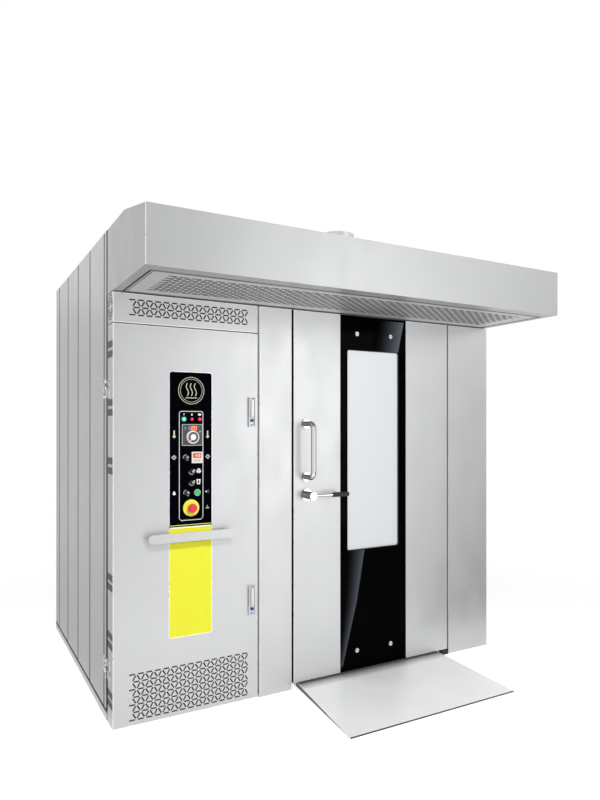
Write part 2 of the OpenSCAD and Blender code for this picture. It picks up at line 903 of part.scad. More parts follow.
// A forced-draught burner with its blast tube through the partition
module burner() {
    y1 = cabinet_y1 - sheet;
    y0 = y1 - burner_gap;
    color("firebrick") from_corner() {
        block([heater_x - burner_w / 2, y0 - burner_d, heater_z - burner_h / 2],
            [heater_x + burner_w / 2, y0, heater_z + burner_h / 2]);
        rod_x(heater_x - blower_w / 2, y1 - blower_y, heater_z - blower_drop, blower_d, blower_w);
        rod_y(heater_x, y1 - throat_len, heater_z, throat_d, throat_len);
        rod_y(heater_x, y1 - blast_flange_t, heater_z, blast_d + blast_flange, blast_flange_t);
        rod_y(heater_x, y1 - blast_flange_t, heater_z, blast_d, heater_y - y1 + blast_reach);
    }
}

// Drum, smoke tubes and upper header, welded as one hollow unit
module heat_exchanger() {
    y0 = heater_y + 12;
    len = inner_y1 - 170 - y0;
    wall = 4;
    box_w = 380;
    box_y = y0 + 60;
    box_y1 = y0 + len - 60;
    box_z = heater_z + drum_d / 2 + 40;
    x0 = heater_x - box_w / 2;
    x1 = heater_x + box_w / 2;
    cols = 4;
    rows = 5;
    step_x = box_w / cols;
    step_y = (box_y1 - box_y) / rows;
    color("sienna") from_corner() difference() {
        union() {
            rod_y(heater_x, y0, heater_z, drum_d, len);
            block([x0, box_y, heater_z], [x1, box_y1, box_z]);
            for (i = [0:cols - 1]) {
                for (j = [0:rows - 1]) {
                    translate([x0 + step_x * (i + 0.5), box_y + step_y * (j + 0.5), box_z])
                        cylinder(d = tube_d, h = header_z - box_z);
                }
            }
            block([x0, box_y, header_z], [x1, box_y1, header_z + header_h]);
            block([flue_x - 100, box_y1 - wall, header_z],
                [flue_x + 100, flue_y + 100, header_z + header_h]);
            for (y = [y0 + 30, y0 + len - 50]) {
                block([x0 + 40, y, floor_h], [x1 - 40, y + 20, heater_z - drum_d / 2 + 60]);
            }
        }
        rod_y(heater_x, y0 + wall, heater_z, drum_d - 2 * wall, len - 2 * wall);
        block([x0 + wall, box_y + wall, heater_z], [x1 - wall, box_y1 - wall, box_z - wall]);
        for (i = [0:cols - 1]) {
            for (j = [0:rows - 1]) {
                translate([x0 + step_x * (i + 0.5), box_y + step_y * (j + 0.5), box_z - 2 * wall])
                    cylinder(d = tube_d - 2 * wall, h = header_z - box_z + 4 * wall);
            }
        }
        block([x0 + wall, box_y + wall, header_z + wall],
            [x1 - wall, box_y1 - wall, header_z + header_h - wall]);
        block([flue_x - 100 + wall, box_y1 - 2 * wall, header_z + wall],
            [flue_x + 100 - wall, flue_y + 100 - wall, header_z + header_h - wall]);
        rod_y(heater_x, y0 - cut, heater_z, blast_d + 2 * hole_gap, 10);
        translate([flue_x, flue_y, header_z + header_h - 2 * wall]) cylinder(d = flue_d - 20, h = 3 * wall);
    }
}

// A pipe from z up to its socket above the roof, which starts at socket_z
module pipe(x, y, z, d, socket_z) {
    top = plate_z + socket_h;
    translate([x, y, 0]) difference() {
        union() {
            translate([0, 0, z]) cylinder(d = d, h = top - z);
            translate([0, 0, socket_z]) cylinder(d = d + 2 * socket_t, h = top - socket_z);
        }
        translate([0, 0, z - cut]) cylinder(d = d - 2 * duct_wall, h = top - z + 2 * cut);
    }
}

// The smoke pipe from the exchanger and the steam pipe from the chamber, its damper below the socket
module roof_ducts() {
    color("silver") from_corner() {
        pipe(flue_x, flue_y, header_z + header_h, flue_d, plate_z);
        difference() {
            pipe(vent_x, vent_y, ceiling_z, vent_d, steam_socket_z);
            rod_x(vent_x - vent_d, vent_y, damper_z, damper_shaft_d + 2 * running, 2 * vent_d);
        }
    }
}

// The butterfly blade in the steam pipe, with its outside crank
module damper_blade() {
    out = vent_d / 2 + 24;
    color("silver") from_corner() translate([vent_x, vent_y, damper_z]) {
        translate([0, 0, -1.5]) cylinder(d = vent_d - 2 * duct_wall - 4, h = 3);
        rod_x(-out, 0, 0, damper_shaft_d, 2 * out);
        translate([out - 6, -5, -5]) cube([4, 60, 10]);
    }
}

// Motor of the circulation fan
module fan_motor() {
    color("steelblue") from_corner() translate([heater_x, fan_y, body_h]) difference() {
        union() {
            translate([-motor_base / 2, -motor_base / 2, 0]) cube([motor_base, motor_base, motor_base_t]);
            cylinder(d = motor_d, h = motor_h);
        }
        translate([0, 0, -cut]) cylinder(d = fan_shaft_d + 2 * running, h = fan_shaft_seat + 2 + cut);
    }
}

// Impeller with straight blades between a back plate and an inlet ring
module circulation_fan() {
    blades = 10;
    h = 120;
    color("gray") from_corner() translate([heater_x, fan_y, fan_z]) {
        cylinder(d = fan_shaft_d, h = body_h + fan_shaft_seat - fan_z);
        translate([0, 0, -h]) cylinder(d = 70, h = h);
        translate([0, 0, -4]) cylinder(d = fan_d, h = 4);
        translate([0, 0, -h]) difference() {
            cylinder(d = fan_d, h = 4);
            translate([0, 0, -cut]) cylinder(d = fan_d - 160, h = 4 + 2 * cut);
        }
        for (i = [0:blades - 1]) rotate(i * 360 / blades)
            translate([fan_d / 2 - 78, -2, -h + 2]) rotate(-25) cube([76, 4, h - 4]);
    }
}

// Cast rods on two side plates, with the water pipe and its valve on the roof
module steam_generator() {
    x1 = partition_x - steamer_gap;
    x0 = x1 - steamer_w;
    y1 = inner_y1 - rear_gap;
    y0 = y1 - steamer_d;
    z1 = floor_h + steamer_h;
    rods = 7;
    bore = 18;
    color("saddlebrown") from_corner() {
        for (x = [x0, x1 - steamer_wall]) block([x, y0, floor_h], [x + steamer_wall, y1, z1]);
        for (i = [0:rods - 1]) {
            rod_x(x0 + 2, y0 + 60, steam_rod_z + i * steam_rod_pitch, steam_rod_d, x1 - x0 - 4);
        }
    }
    color("goldenrod") from_corner() {
        translate([water_x, water_y, z1 - 60]) cylinder(d = water_d, h = body_h + 10 - z1 + 60);
        difference() {
            union() {
                block([water_x - 25, water_y - 25, body_h], [water_x + 25, water_y + 25, body_h + 50]);
                rod_y(water_x, water_y + 20, body_h + 25, water_d + 8, 40);
            }
            rod_y(water_x, water_y + 30, body_h + 25, bore, 40);
        }
    }
}

// A long lamp beside the door, with a glass tube in its housing
module chamber_lamp() {
    x0 = inner_x1 - lamp_inset;
    z0 = 700;
    h = 600;
    w = 80;
    foot = 50;
    color("ivory") from_corner() {
        block([x0, liner_y + sheet, z0], [x0 + w, liner_y + 18, z0 + h]);
        translate([x0 + w / 2, liner_y + 30, z0 + 20]) cylinder(d = 30, h = h - 40);
        for (z = [z0, z0 + h - 20]) {
            block([x0 + (w - foot) / 2, liner_y + 10, z], [x0 + (w + foot) / 2, liner_y + 50, z + 20]);
        }
    }
}

// Gear motor on the roof and the bearing below the ceiling
module rack_drive() {
    bearing_h = 36;
    color("steelblue") from_corner() translate([carrier_x, carrier_y, 0]) {
        difference() {
            union() {
                translate([-gear_base_w / 2, -gear_base_d / 2, body_h])
                    cube([gear_base_w, gear_base_d, motor_base_t]);
                translate([-gear_w / 2, -gear_w / 2, body_h]) cube([gear_w, gear_w, gear_h]);
                rod_x(gear_w / 2 - 10, 0, body_h + gear_motor_d / 2 + 20, gear_motor_d, gear_motor_len);
            }
            translate([0, 0, body_h - cut]) cylinder(d = drive_d + 2 * running, h = drive_seat + 2 + cut);
        }
        translate([0, 0, ceiling_z - bearing_h]) difference() {
            union() {
                cylinder(d = drive_d + 50, h = bearing_h);
                translate([0, 0, bearing_h - 8]) cylinder(d = drive_d + 110, h = 8);
            }
            translate([0, 0, -cut]) cylinder(d = drive_d + 2 * running, h = bearing_h + 2 * cut);
        }
    }
}

// The two drives that stand on the roof
module roof_motors() {
    fan_motor();
    rack_drive();
}

// The turning shaft with the yoke that lifts and turns a rack
module rack_carrier() {
    arm = 640;
    arm_w = 60;
    yoke_z = ceiling_z - yoke_drop;
    color("silver") from_corner() translate([carrier_x, carrier_y, 0]) {
        translate([0, 0, yoke_z]) cylinder(d = drive_d, h = body_h + drive_seat - yoke_z);
        translate([0, 0, yoke_z - 10]) cylinder(d = drive_d + 40, h = 40);
        translate([-arm / 2, -arm_w / 2, yoke_z - 12]) cube([arm, arm_w, 12]);
        for (s = [0, 1]) mirror([s, 0, 0]) {
            translate([arm / 2 - 10, -arm_w / 2, yoke_z - yoke_depth]) cube([10, arm_w, yoke_depth]);
            translate([arm / 2 - yoke_lip, -arm_w / 2, yoke_z - yoke_depth]) cube([yoke_lip, arm_w, 10]);
        }
    }
}

// Lower half of each cabinet door hinge: a leaf on the body, its knuckle and the pin
module fixed_hinge_leaves() {
    y0 = knuckle_y + knuckle_d / 2 + 1;
    half = hinge_h / 2;
    color("silver") from_corner() for (mid = [upper_hinge_z, lower_hinge_z]) {
        block([-leaf_t, y0, mid - half], [0, y0 + hinge_leaf, mid + half]);
        block([-leaf_t, knuckle_y, mid - half], [0, y0 + 1, mid - rest_gap]);
        translate([knuckle_x, knuckle_y, mid - half]) cylinder(d = knuckle_d, h = half - rest_gap);
        translate([knuckle_x, knuckle_y, mid - half]) cylinder(d = hinge_pin_d, h = 2 * half - 3);
    }
}

// Upper half of each cabinet door hinge: a leaf on the door and the knuckle that turns on the pin
module door_hinge_leaves() {
    y1 = knuckle_y - knuckle_d / 2 - 1;
    half = hinge_h / 2;
    color("silver") from_corner() for (mid = [upper_hinge_z, lower_hinge_z]) difference() {
        union() {
            block([-leaf_t, y1 - 40, mid - half], [0, y1, mid + half]);
            block([-leaf_t, y1 - 1, mid], [0, knuckle_y, mid + half]);
            translate([knuckle_x, knuckle_y, mid]) cylinder(d = knuckle_d, h = half);
        }
        translate([knuckle_x, knuckle_y, mid - cut])
            cylinder(d = hinge_pin_d + 2 * running, h = half - 2 + cut);
    }
}

// The door shell's plan from y0 back, drawn in by t, its rear edge cut back to clear the seal when it swings
module door_plan(y0, t) {
    polygon([
        [door_x + t, y0], [door_x1 - t, y0], [door_x1 - t, door_t - edge_cut - t],
        [pivot_x, door_t - t], [door_x + t, door_t - t]
    ]);
}

// The window's opening, grown by t, from y0 to y1
module window_block(t, y0, y1) {
    block([window_x - window_w / 2 - t, y0, window_bottom - t],
        [window_x + window_w / 2 + t, y1, window_top + t]);
}

// The door's folded shell, open to the front, with its window frame, pivot blocks and lock case
module oven_door() {
    ring = 26;
    case_w = 130;
    pivot_bore = 32;
    y0 = skin_d;
    h = door_top - door_z;
    color("silver") from_corner() difference() {
        union() {
            translate([0, 0, door_z]) difference() {
                linear_extrude(height = h) door_plan(y0, 0);
                translate([0, 0, sheet]) linear_extrude(height = h - 2 * sheet) door_plan(0, sheet);
            }
            window_block(ring, y0, door_t);
            block([door_x, y0 + sheet, lever_z - 40], [door_x + case_w, door_t, lever_z + 40]);
            for (z = [door_z, door_top - 40]) block([pivot_x - 24, y0, z], [door_x1, 50, z + 40]);
            for (z = [screw_low, screw_high]) {
                block([glass_x0, y0, z - 15], [glass_x0 + glass_w, y0 + 30, z + 15]);
            }
            for (x = [glass_x0, glass_x0 + glass_w - sheet]) {
                block([x, y0, door_z], [x + sheet, door_t, door_top]);
            }
        }
        window_block(0, 0, door_t + cut);
        window_block(pane_edge, 0, y0 + pane_t + pane_rebate);
        window_block(pane_edge, door_t - pane_t - pane_rebate, door_t + cut);
        for (z = [door_z - cut, door_top - pivot_bore]) {
            translate([pivot_x, pivot_inset, z]) cylinder(d = pivot_d + 2 * running, h = pivot_bore + cut);
        }
        rod_y(lever_x, 0, lever_z, spindle_d + 2 * running, door_t - sheet);
        block([door_x - cut, bolt_y - rest_gap, lever_z - bolt_h / 2 - rest_gap],
            [door_x + bolt_len + 1, bolt_y + bolt_h + rest_gap, lever_z + bolt_h / 2 + rest_gap]);
        screw_holes(0, 30, screw_hole_d + 2 * running);
    }
}

// The four screw places of the black glass
module screw_holes(y, len, d) {
    for (x = [-1, 1]) {
        for (z = [screw_low, screw_high]) rod_y(window_x + x * screw_pitch / 2, y, z, d, len);
    }
}

// Metal panels left and right of the glass
module door_side_panels() {
    right_x = glass_x0 + glass_w + 1;
    h = door_top - door_z;
    color("gainsboro") from_corner() {
        difference() {
            translate([door_x, 0, door_z]) pan(glass_x - 1, skin_d, h);
            rod_y(lever_x, -cut, lever_z, spindle_d + 4, skin_d);
        }
        translate([right_x, 0, door_z]) pan(door_x1 - right_x, skin_d, h);
    }
}

module door_glass() {
    mid_z = (window_bottom + window_top) / 2;
    color("black") from_corner() difference() {
        block([glass_x0, skin_d - pane_t, door_z], [glass_x0 + glass_w, skin_d, door_top]);
        upright(window_x, 0, mid_z, skin_d + cut) round_rect(window_w, window_top - window_bottom, 14);
        screw_holes(-cut, skin_d + 2 * cut, screw_hole_d + 2);
    }
}

// Outer and inner pane of the window, each in its rebate
module window_panes() {
    x0 = window_x - window_w / 2 - pane_edge;
    x1 = window_x + window_w / 2 + pane_edge;
    color("white", 0.6) from_corner() for (y = [skin_d + pane_rebate, door_t - pane_t - pane_rebate]) {
        block([x0, y, window_bottom - pane_edge], [x1, y + pane_t, window_top + pane_edge]);
    }
}

// Slotted screws that hold the glass
module glass_screws() {
    head_y = skin_d - pane_t - 5;
    color("white") from_corner() difference() {
        union() {
            screw_holes(head_y, 5, screw_d);
            screw_holes(head_y + 4, 26, screw_hole_d);
        }
        for (z = [screw_low, screw_high]) {
            block([door_x, head_y - cut, z - 1.5], [door_x1, head_y + 2, z + 1.5]);
        }
    }
}

// Tubular pull handle with its two rosettes, and the lever's rosette
module pull_handle() {
    straight = pull_reach - pull_r;
    color("silver") from_corner() {
        for (s = [0, 1]) translate([pull_x, 0, pull_z]) mirror([0, 0, s]) translate([0, 0, pull_len / 2]) {
            rod_y(0, -rosette_t, 0, pull_rosette_d, rosette_t);
            rod_y(0, -straight, 0, pull_d, straight - 1);
            translate([0, -straight, -pull_r]) rotate([0, 0, 180]) rotate([0, -90, 0])
                rotate_extrude(angle = 90) translate([pull_r, 0]) circle(d = pull_d);
            translate([0, -pull_reach, -pull_len / 2]) cylinder(d = pull_d, h = pull_len / 2 - pull_r);
        }
        difference() {
            rod_y(lever_x, -rosette_t, lever_z, lever_rosette_d, rosette_t);
            rod_y(lever_x, -rosette_t - cut, lever_z, spindle_d + 2 * running, rosette_t + 2 * cut);
        }
    }
}

// Spindle, hub and neck of the lever that works the latch
module lever_handle() {
    hub_y = -rosette_t - rest_gap;
    color("silver") from_corner() {
        rod_y(lever_x, hub_y - hub_len + rosette_t, lever_z, hub_d, hub_len - rosette_t);
        rod_y(lever_x, hub_y - 1, lever_z, spindle_d, door_t - 10 - hub_y);
        rod_x(lever_x + hub_d / 2 - 6, lever_y, lever_z, neck_d, lever_len - grip_len - hub_d / 2 + 6);
    }
}

module lever_grip() {
    color("black") from_corner() rod_x(lever_x + lever_len - grip_len, lever_y, lever_z, grip_d, grip_len);
}

// The latch bolt in the door's edge, which the lever draws back
module latch_bolt() {
    x0 = door_x - bolt_reach;
    color("silver") from_corner()
        block([x0, bolt_y, lever_z - bolt_h / 2], [x0 + bolt_len, bolt_y + bolt_h, lever_z + bolt_h / 2]);
}

// The cabinet door: a deep pan with vents below, slots in its side and openings for the controls
module control_door() {
    h = cabinet_door_top - cabinet_door_bottom;
    color("gainsboro") from_corner() {
        difference() {
            translate([0, 0, cabinet_door_bottom]) pan(cabinet_w, cabinet_door_d, h);
            translate([vent_x0, sheet + cut, bottom_vent_z]) rotate([90, 0, 0])
                linear_extrude(height = sheet + 2 * cut) triangle_slots(vent_cols, bottom_bands);
            for (i = [0, 1, 2, 4, 5, 6]) {
                z = slot_z0 + i * side_slot_pitch;
                for (s = [-1, 1]) {
                    mid = z + s * (side_slot_h + slot_gap) / 2;
                    block([-cut, 12, mid - side_slot_h / 2],
                        [sheet + cut, cabinet_door_d - 8, mid + side_slot_h / 2]);
                }
            }
            control_stems(stem_d + 4);
            latch_stems(stem_d + 4);
        }
        translate([0, 0, cabinet_door_bottom]) pan_flange(cabinet_w, cabinet_door_d, h);
    }
}

// Holes for the knobs and buttons of the control panel
module control_stems(d) {
    for (i = [0:3]) rod_y(panel_x + knob_x[i], -20, knob_z[i], d, 40);
    rod_y(start_x, -20, start_z, d, 40);
    rod_y(panel_x, -20, stop_z, d, 40);
}

// Holes for the latch buttons
module latch_stems(d) {
    for (mid = [upper_latch_z, lower_latch_z]) rod_y(latch_x + latch_w / 2, -20, mid - button_drop, d, 40);
}

module control_panel() {
    h = panel_top - panel_bottom;
    color("black") from_corner() difference() {
        upright(panel_x, -plate_t, panel_bottom + h / 2, plate_t) {
            round_rect(panel_w, h, 12);
            translate([-panel_w / 2, -h / 2]) square([panel_w, h / 2]);
        }
        control_stems(stem_d + 2 * running);
    }
}

module colour_strip() {
    t = 2;
    h = panel_bottom - 6 - strip_bottom;
    color("yellow") from_corner() upright(panel_x, -t, strip_bottom + h / 2, t) {
        round_rect(panel_w, h, 9);
        translate([-panel_w / 2, 0]) square([panel_w, h / 2]);
    }
}

// The three lamps in a row above the controller
module indicator_lamps() {
    color("red") from_corner() for (i = [-1:1]) {
        rod_y(controller_x + i * lamp_pitch, -plate_t - 6, lamp_z, lamp_d, 6);
    }
}

// A square case on the panel
module square_case(x, z, w) {
    block([x - w / 2, -plate_t - instrument_t, z - w / 2], [x + w / 2, -plate_t, z + w / 2]);
}

// Temperature controller, timer, the start button's collar and the lamps
module control_instruments() {
    color("dimgray") from_corner() {
        difference() {
            square_case(controller_x, controller_z, controller_w);
            rod_y(controller_x, -20, dial_z, stem_d + 2 * running, 14);
        }
        square_case(timer_x, timer_z, timer_w);
        difference() {
            rod_y(start_x, -plate_t - 5, start_z, start_d + 6, 5);
            rod_y(start_x, -plate_t - 5 - cut, start_z, start_d + 2 * rest_gap, 5 + 2 * cut);
        }
    }
    indicator_lamps();
}

module temperature_dial() {
    y = -plate_t - instrument_t - rest_gap;
    color("white") from_corner() {
        rod_y(controller_x, y - dial_t, dial_z, dial_d, dial_t);
        rod_y(controller_x, y - 1, dial_z, stem_d, 7);
    }
}

// One selector: a round base with a grip across it, turned by angle
module selector(i, angle) {
    y = -plate_t - rest_gap;
    grip_t = 8;
    color("dimgray") from_corner() translate([panel_x + knob_x[i], 0, knob_z[i]]) rotate([0, angle, 0]) {
        rod_y(0, y - knob_t, 0, knob_d, knob_t);
        block([-3, y - knob_t - grip_t, -knob_d / 2 + 1], [3, y - knob_t + 1, knob_d / 2 - 1]);
        rod_y(0, y - 1, 0, stem_d, 12);
    }
}

module selector_1() {
    selector(0, -45);
}

module selector_2() {
    selector(1, -45);
}

module selector_3() {
    selector(2, -45);
}

module selector_4() {
    selector(3, -45);
}

module start_button() {
    color("green") from_corner() {
        rod_y(start_x, -plate_t - 11, start_z, start_d, 5);
        rod_y(start_x, -plate_t - 7, start_z, stem_d, 16);
    }
}

module stop_disc() {
    color("yellow") from_corner() difference() {
        rod_y(panel_x, -plate_t - stop_disc_t, stop_z, stop_disc_d, stop_disc_t);
        rod_y(panel_x, -20, stop_z, stem_d + 2 * running, 40);
    }
}

module stop_button() {
    color("red") from_corner() {
        rod_y(panel_x, -plate_t - 31, stop_z, stop_head_d, 12);
        rod_y(panel_x, -plate_t - 20, stop_z, stop_head_d * 0.7, 9);
        rod_y(panel_x, -plate_t - 12, stop_z, stem_d, 20);
    }
}

// A flat bar with round ends on two pegs
module rail_bar() {
    peg_z = bar_z + bar_h / 2 - peg_d / 2 - 1;
    color("silver") from_corner() {
        upright(panel_x, -bar_reach, bar_z, bar_t) {
            square([bar_w - bar_h, bar_h], center = true);
            for (s = [-1, 1]) translate([s * (bar_w - bar_h) / 2, 0]) circle(d = bar_h);
        }
        for (s = [-1, 1]) {
            rod_y(panel_x + s * peg_pitch / 2, bar_t - bar_reach - 1, peg_z, peg_d, bar_reach - bar_t + 1);
        }
    }
}

// Two rimmed plates, each with bores for its lever's pin and its button
module latch_plates() {
    rim = 4;
    y = -latch_plate_t - latch_rim;
    color("gray") from_corner() for (mid = [upper_latch_z, lower_latch_z]) difference() {
        block([latch_x, y, mid - latch_h / 2], [latch_x + latch_w, 0, mid + latch_h / 2]);
        block([latch_x + rim, y - cut, mid - latch_h / 2 + rim],
            [latch_x + latch_w - rim, -latch_plate_t, mid + latch_h / 2 - rim]);
        rod_x(latch_x + 1, latch_pin_y, mid + latch_pin_z, latch_pin_d + 2 * running, latch_w - 2);
        latch_stems(stem_d + 2 * running);
    }
}

// A flush lever that swings out at its lower end
module latch_lever(mid) {
    w = latch_w - 14;
    len = 86;
    color("white") from_corner() translate([latch_x + 7, latch_pin_y, mid + latch_pin_z]) {
        rod_x(0, 0, 0, lever_t, w);
        translate([0, -lever_t / 2, -len]) cube([w, lever_t, len]);
        rod_x(-5.5, 0, 0, latch_pin_d, w + 11);
    }
}

module upper_latch_lever() {
    latch_lever(upper_latch_z);
}

module lower_latch_lever() {
    latch_lever(lower_latch_z);
}

// The push button below a latch lever
module latch_button(mid) {
    y = -latch_plate_t - 7;
    color("dodgerblue") from_corner() {
        rod_y(latch_x + latch_w / 2, y, mid - button_drop, button_d, 3.5);
        rod_y(latch_x + latch_w / 2, y + 3, mid - button_drop, stem_d, 12);
    }
}

module upper_latch_button() {
    latch_button(upper_latch_z);
}

module lower_latch_button() {
    latch_button(lower_latch_z);
}

base_frame();
floor_plate();
wall_panels();
roof_panels();
insulation();
chamber_liner();
duct_panel();
front_columns();
front_frame();
door_seal();
door_pivots();
ramp();
hood_shell();
hood_filter();
exhaust_collar();
hood_fan();
control_cabinet();
cabinet_back();
flue_roof_panel();
top_vent_panel();
electrical_plate();
cooling_fan();
burner();
heat_exchanger();
roof_ducts();
damper_blade();
roof_motors();
circulation_fan();
steam_generator();
chamber_lamp();
rack_carrier();
fixed_hinge_leaves();
oven_door();
door_side_panels();
door_glass();
window_panes();
glass_screws();
pull_handle();
lever_handle();
lever_grip();
latch_bolt();
control_door();
door_hinge_leaves();
control_panel();
colour_strip();
control_instruments();
temperature_dial();
selector_1();
selector_2();
selector_3();
selector_4();
start_button();
stop_disc();
stop_button();
rail_bar();
latch_plates();
upper_latch_lever();
lower_latch_lever();
upper_latch_button();
lower_latch_button();
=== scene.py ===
"""Looks of a hot-air rotary rack oven with steam: finishes, small fittings, light and camera."""
import math

import bmesh
import bpy
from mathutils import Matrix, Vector


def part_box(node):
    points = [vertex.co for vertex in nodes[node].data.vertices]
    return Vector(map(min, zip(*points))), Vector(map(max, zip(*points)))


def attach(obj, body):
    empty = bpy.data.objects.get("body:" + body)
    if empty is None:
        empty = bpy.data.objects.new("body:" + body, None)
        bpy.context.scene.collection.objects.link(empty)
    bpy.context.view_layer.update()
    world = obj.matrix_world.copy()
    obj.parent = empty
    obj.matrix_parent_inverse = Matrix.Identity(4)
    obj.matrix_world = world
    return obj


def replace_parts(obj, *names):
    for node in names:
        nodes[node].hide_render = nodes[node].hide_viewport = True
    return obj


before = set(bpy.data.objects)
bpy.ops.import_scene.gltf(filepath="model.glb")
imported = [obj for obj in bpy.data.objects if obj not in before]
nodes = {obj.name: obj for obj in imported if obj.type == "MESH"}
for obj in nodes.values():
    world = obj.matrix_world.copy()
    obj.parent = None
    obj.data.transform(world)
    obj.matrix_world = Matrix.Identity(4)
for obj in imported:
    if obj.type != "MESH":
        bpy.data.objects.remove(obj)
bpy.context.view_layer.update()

scene = bpy.context.scene
MM = 0.001

# Finishes


class Finish:
    """One Principled material whose texture nodes use object coordinates."""

    def __init__(self, name, base, metallic=0.0, roughness=0.5, **sockets):
        self.mat = bpy.data.materials.new(name)
        self.mat.use_nodes = True
        tree = self.mat.node_tree
        self.nodes = tree.nodes
        self.links = tree.links
        self.bsdf = self.nodes["Principled BSDF"]
        self.bsdf.inputs["Base Color"].default_value = (*base, 1)
        self.bsdf.inputs["Metallic"].default_value = metallic
        self.bsdf.inputs["Roughness"].default_value = roughness
        for socket, value in sockets.items():
            self.bsdf.inputs[socket.replace("_", " ")].default_value = value
        self.object = self.nodes.new("ShaderNodeTexCoord").outputs["Object"]

    def noise(self, scale, detail=3.0, roughness=0.55):
        place = self.nodes.new("ShaderNodeMapping")
        place.inputs["Scale"].default_value = scale
        self.links.new(self.object, place.inputs["Vector"])
        noise = self.nodes.new("ShaderNodeTexNoise")
        noise.inputs["Scale"].default_value = 1.0
        noise.inputs["Detail"].default_value = detail
        noise.inputs["Roughness"].default_value = roughness
        self.links.new(place.outputs["Vector"], noise.inputs["Vector"])
        return noise.outputs["Fac"]

    def spread(self, value, low, high, start=0.3, end=0.7):
        """Maps value from start..end to low..high."""
        node = self.nodes.new("ShaderNodeMapRange")
        for socket, number in (("From Min", start), ("From Max", end), ("To Min", low), ("To Max", high)):
            node.inputs[socket].default_value = number
        self.links.new(value, node.inputs["Value"])
        return node.outputs["Result"]

    def along(self, axis):
        """The object coordinate along X, Y or Z."""
        parts = self.nodes.new("ShaderNodeSeparateXYZ")
        self.links.new(self.object, parts.inputs["Vector"])
        return parts.outputs[axis]

    def times(self, a, b):
        node = self.nodes.new("ShaderNodeMath")
        node.operation = "MULTIPLY"
        self.links.new(a, node.inputs[0])
        self.links.new(b, node.inputs[1])
        return node.outputs["Value"]

    def colours(self, value, dark, light):
        node = self.nodes.new("ShaderNodeMix")
        node.data_type = "RGBA"
        node.inputs["A"].default_value = (*dark, 1)
        node.inputs["B"].default_value = (*light, 1)
        self.links.new(value, node.inputs["Factor"])
        self.links.new(node.outputs["Result"], self.bsdf.inputs["Base Color"])

    def roughness(self, value, low, high):
        self.links.new(self.spread(value, low, high), self.bsdf.inputs["Roughness"])

    def bump(self, value, strength, distance=0.0005):
        node = self.nodes.new("ShaderNodeBump")
        node.inputs["Strength"].default_value = strength
        node.inputs["Distance"].default_value = distance
        self.links.new(value, node.inputs["Height"])
        self.links.new(node.outputs["Normal"], self.bsdf.inputs["Normal"])


def shade(colour, factor):
    return tuple(channel * factor for channel in colour)


def brushed(name, base, metallic, roughness, grain, vary=0.04):
    """Brushed sheet metal, its grain drawn out along the smallest scale."""
    finish = Finish(name, base, metallic, roughness)
    lines = finish.noise(grain, detail=4.0)
    cloud = finish.noise((2.2, 2.2, 1.6), detail=2.0)
    smudge = finish.noise((9, 9, 5), detail=5.0)
    finish.colours(finish.times(finish.spread(lines, 0.6, 1.0), finish.spread(cloud, 0.7, 1.0)),
                   shade(base, 1 - vary), shade(base, 1 + vary))
    finish.roughness(smudge, roughness - 0.05, roughness + 0.05)
    finish.bump(lines, 0.05, 0.0002)
    return finish.mat


def plain_metal(name, base, roughness, grain=300.0, metallic=1.0):
    """Polished, cast or plated metal with fine irregularities."""
    finish = Finish(name, base, metallic, roughness)
    fine = finish.noise((grain, grain, grain), detail=3.0)
    patch = finish.noise((14, 14, 14), detail=4.0)
    finish.colours(finish.spread(patch, 0.0, 1.0), shade(base, 0.93), shade(base, 1.04))
    finish.roughness(patch, roughness * 0.8, roughness * 1.25)
    finish.bump(fine, 0.06, 0.0002)
    return finish.mat


def moulded(name, base, roughness, grain=900.0, strength=0.12, level=0.5, patch=60.0, vary=0.02):
    """Moulded plastic, paint or rubber with a fine surface grain."""
    finish = Finish(name, base, 0.0, roughness, Specular_IOR_Level=level)
    fine = finish.noise((grain, grain, grain), detail=2.0)
    cloud = finish.noise((patch, patch, patch), detail=3.0)
    finish.colours(finish.spread(cloud, 0.0, 1.0), shade(base, 1 - vary), shade(base, 1 + vary))
    finish.roughness(cloud, roughness - 0.04, roughness + 0.04)
    finish.bump(fine, strength, 0.0002)
    return finish.mat


def glowing(name, base, glow, strength):
    """A lit lens or display segment."""
    finish = Finish(name, base, 0.0, 0.25, Emission_Strength=strength)
    finish.bsdf.inputs["Emission Color"].default_value = (*glow, 1)
    fine = finish.noise((500, 500, 500), detail=2.0)
    finish.colours(finish.spread(fine, 0.0, 1.0), shade(base, 0.9), shade(base, 1.05))
    finish.roughness(fine, 0.2, 0.3)
    return finish.mat


def rimmed_metal(name, base, rim, roughness):
    """Polished metal with a painted reflection: its colour darkens towards its outline, where a dark room
    would show in it.
    """
    finish = Finish(name, base, 1.0, roughness)
    facing = finish.nodes.new("ShaderNodeLayerWeight")
    facing.inputs["Blend"].default_value = 0.35
    finish.colours(finish.spread(facing.outputs["Facing"], 0.0, 1.0, 0.14, 0.5), base, rim)
    patch = finish.noise((30, 30, 30), detail=3.0)
    finish.roughness(patch, roughness * 0.8, roughness * 1.2)
    return finish.mat


def ramp_metal(name, base):
    """Smooth pale sheet with painted shade: darker near the door, by its distance from the door, and near
    black along its front edge.
    """
    finish = Finish(name, base, 0.1, 0.42)
    cloud = finish.noise((3, 3, 3), detail=3.0)
    shaded = finish.spread(finish.along("Y"), 0.08, 1.0, -0.522, -0.60)
    # Painted shade along the front edge: the top's last few millimetres near black.
    lip = finish.spread(finish.along("Y"), 0.0, 1.0, -1.0705, -1.0695)
    share = finish.times(finish.times(finish.spread(cloud, 0.94, 1.0), shaded), lip)
    finish.colours(share, shade(base, 0.03), base)
    finish.roughness(cloud, 0.36, 0.46)
    return finish.mat


def worn_metal(name, dark, light):
    """Cast metal with dark hollows between bright high spots."""
    finish = Finish(name, light, 0.3, 0.35)
    finish.colours(finish.spread(finish.noise((110, 110, 60), detail=2.0), 0.0, 1.0, 0.42, 0.56), dark, light)
    finish.bump(finish.noise((300, 300, 300)), 0.1)
    return finish.mat


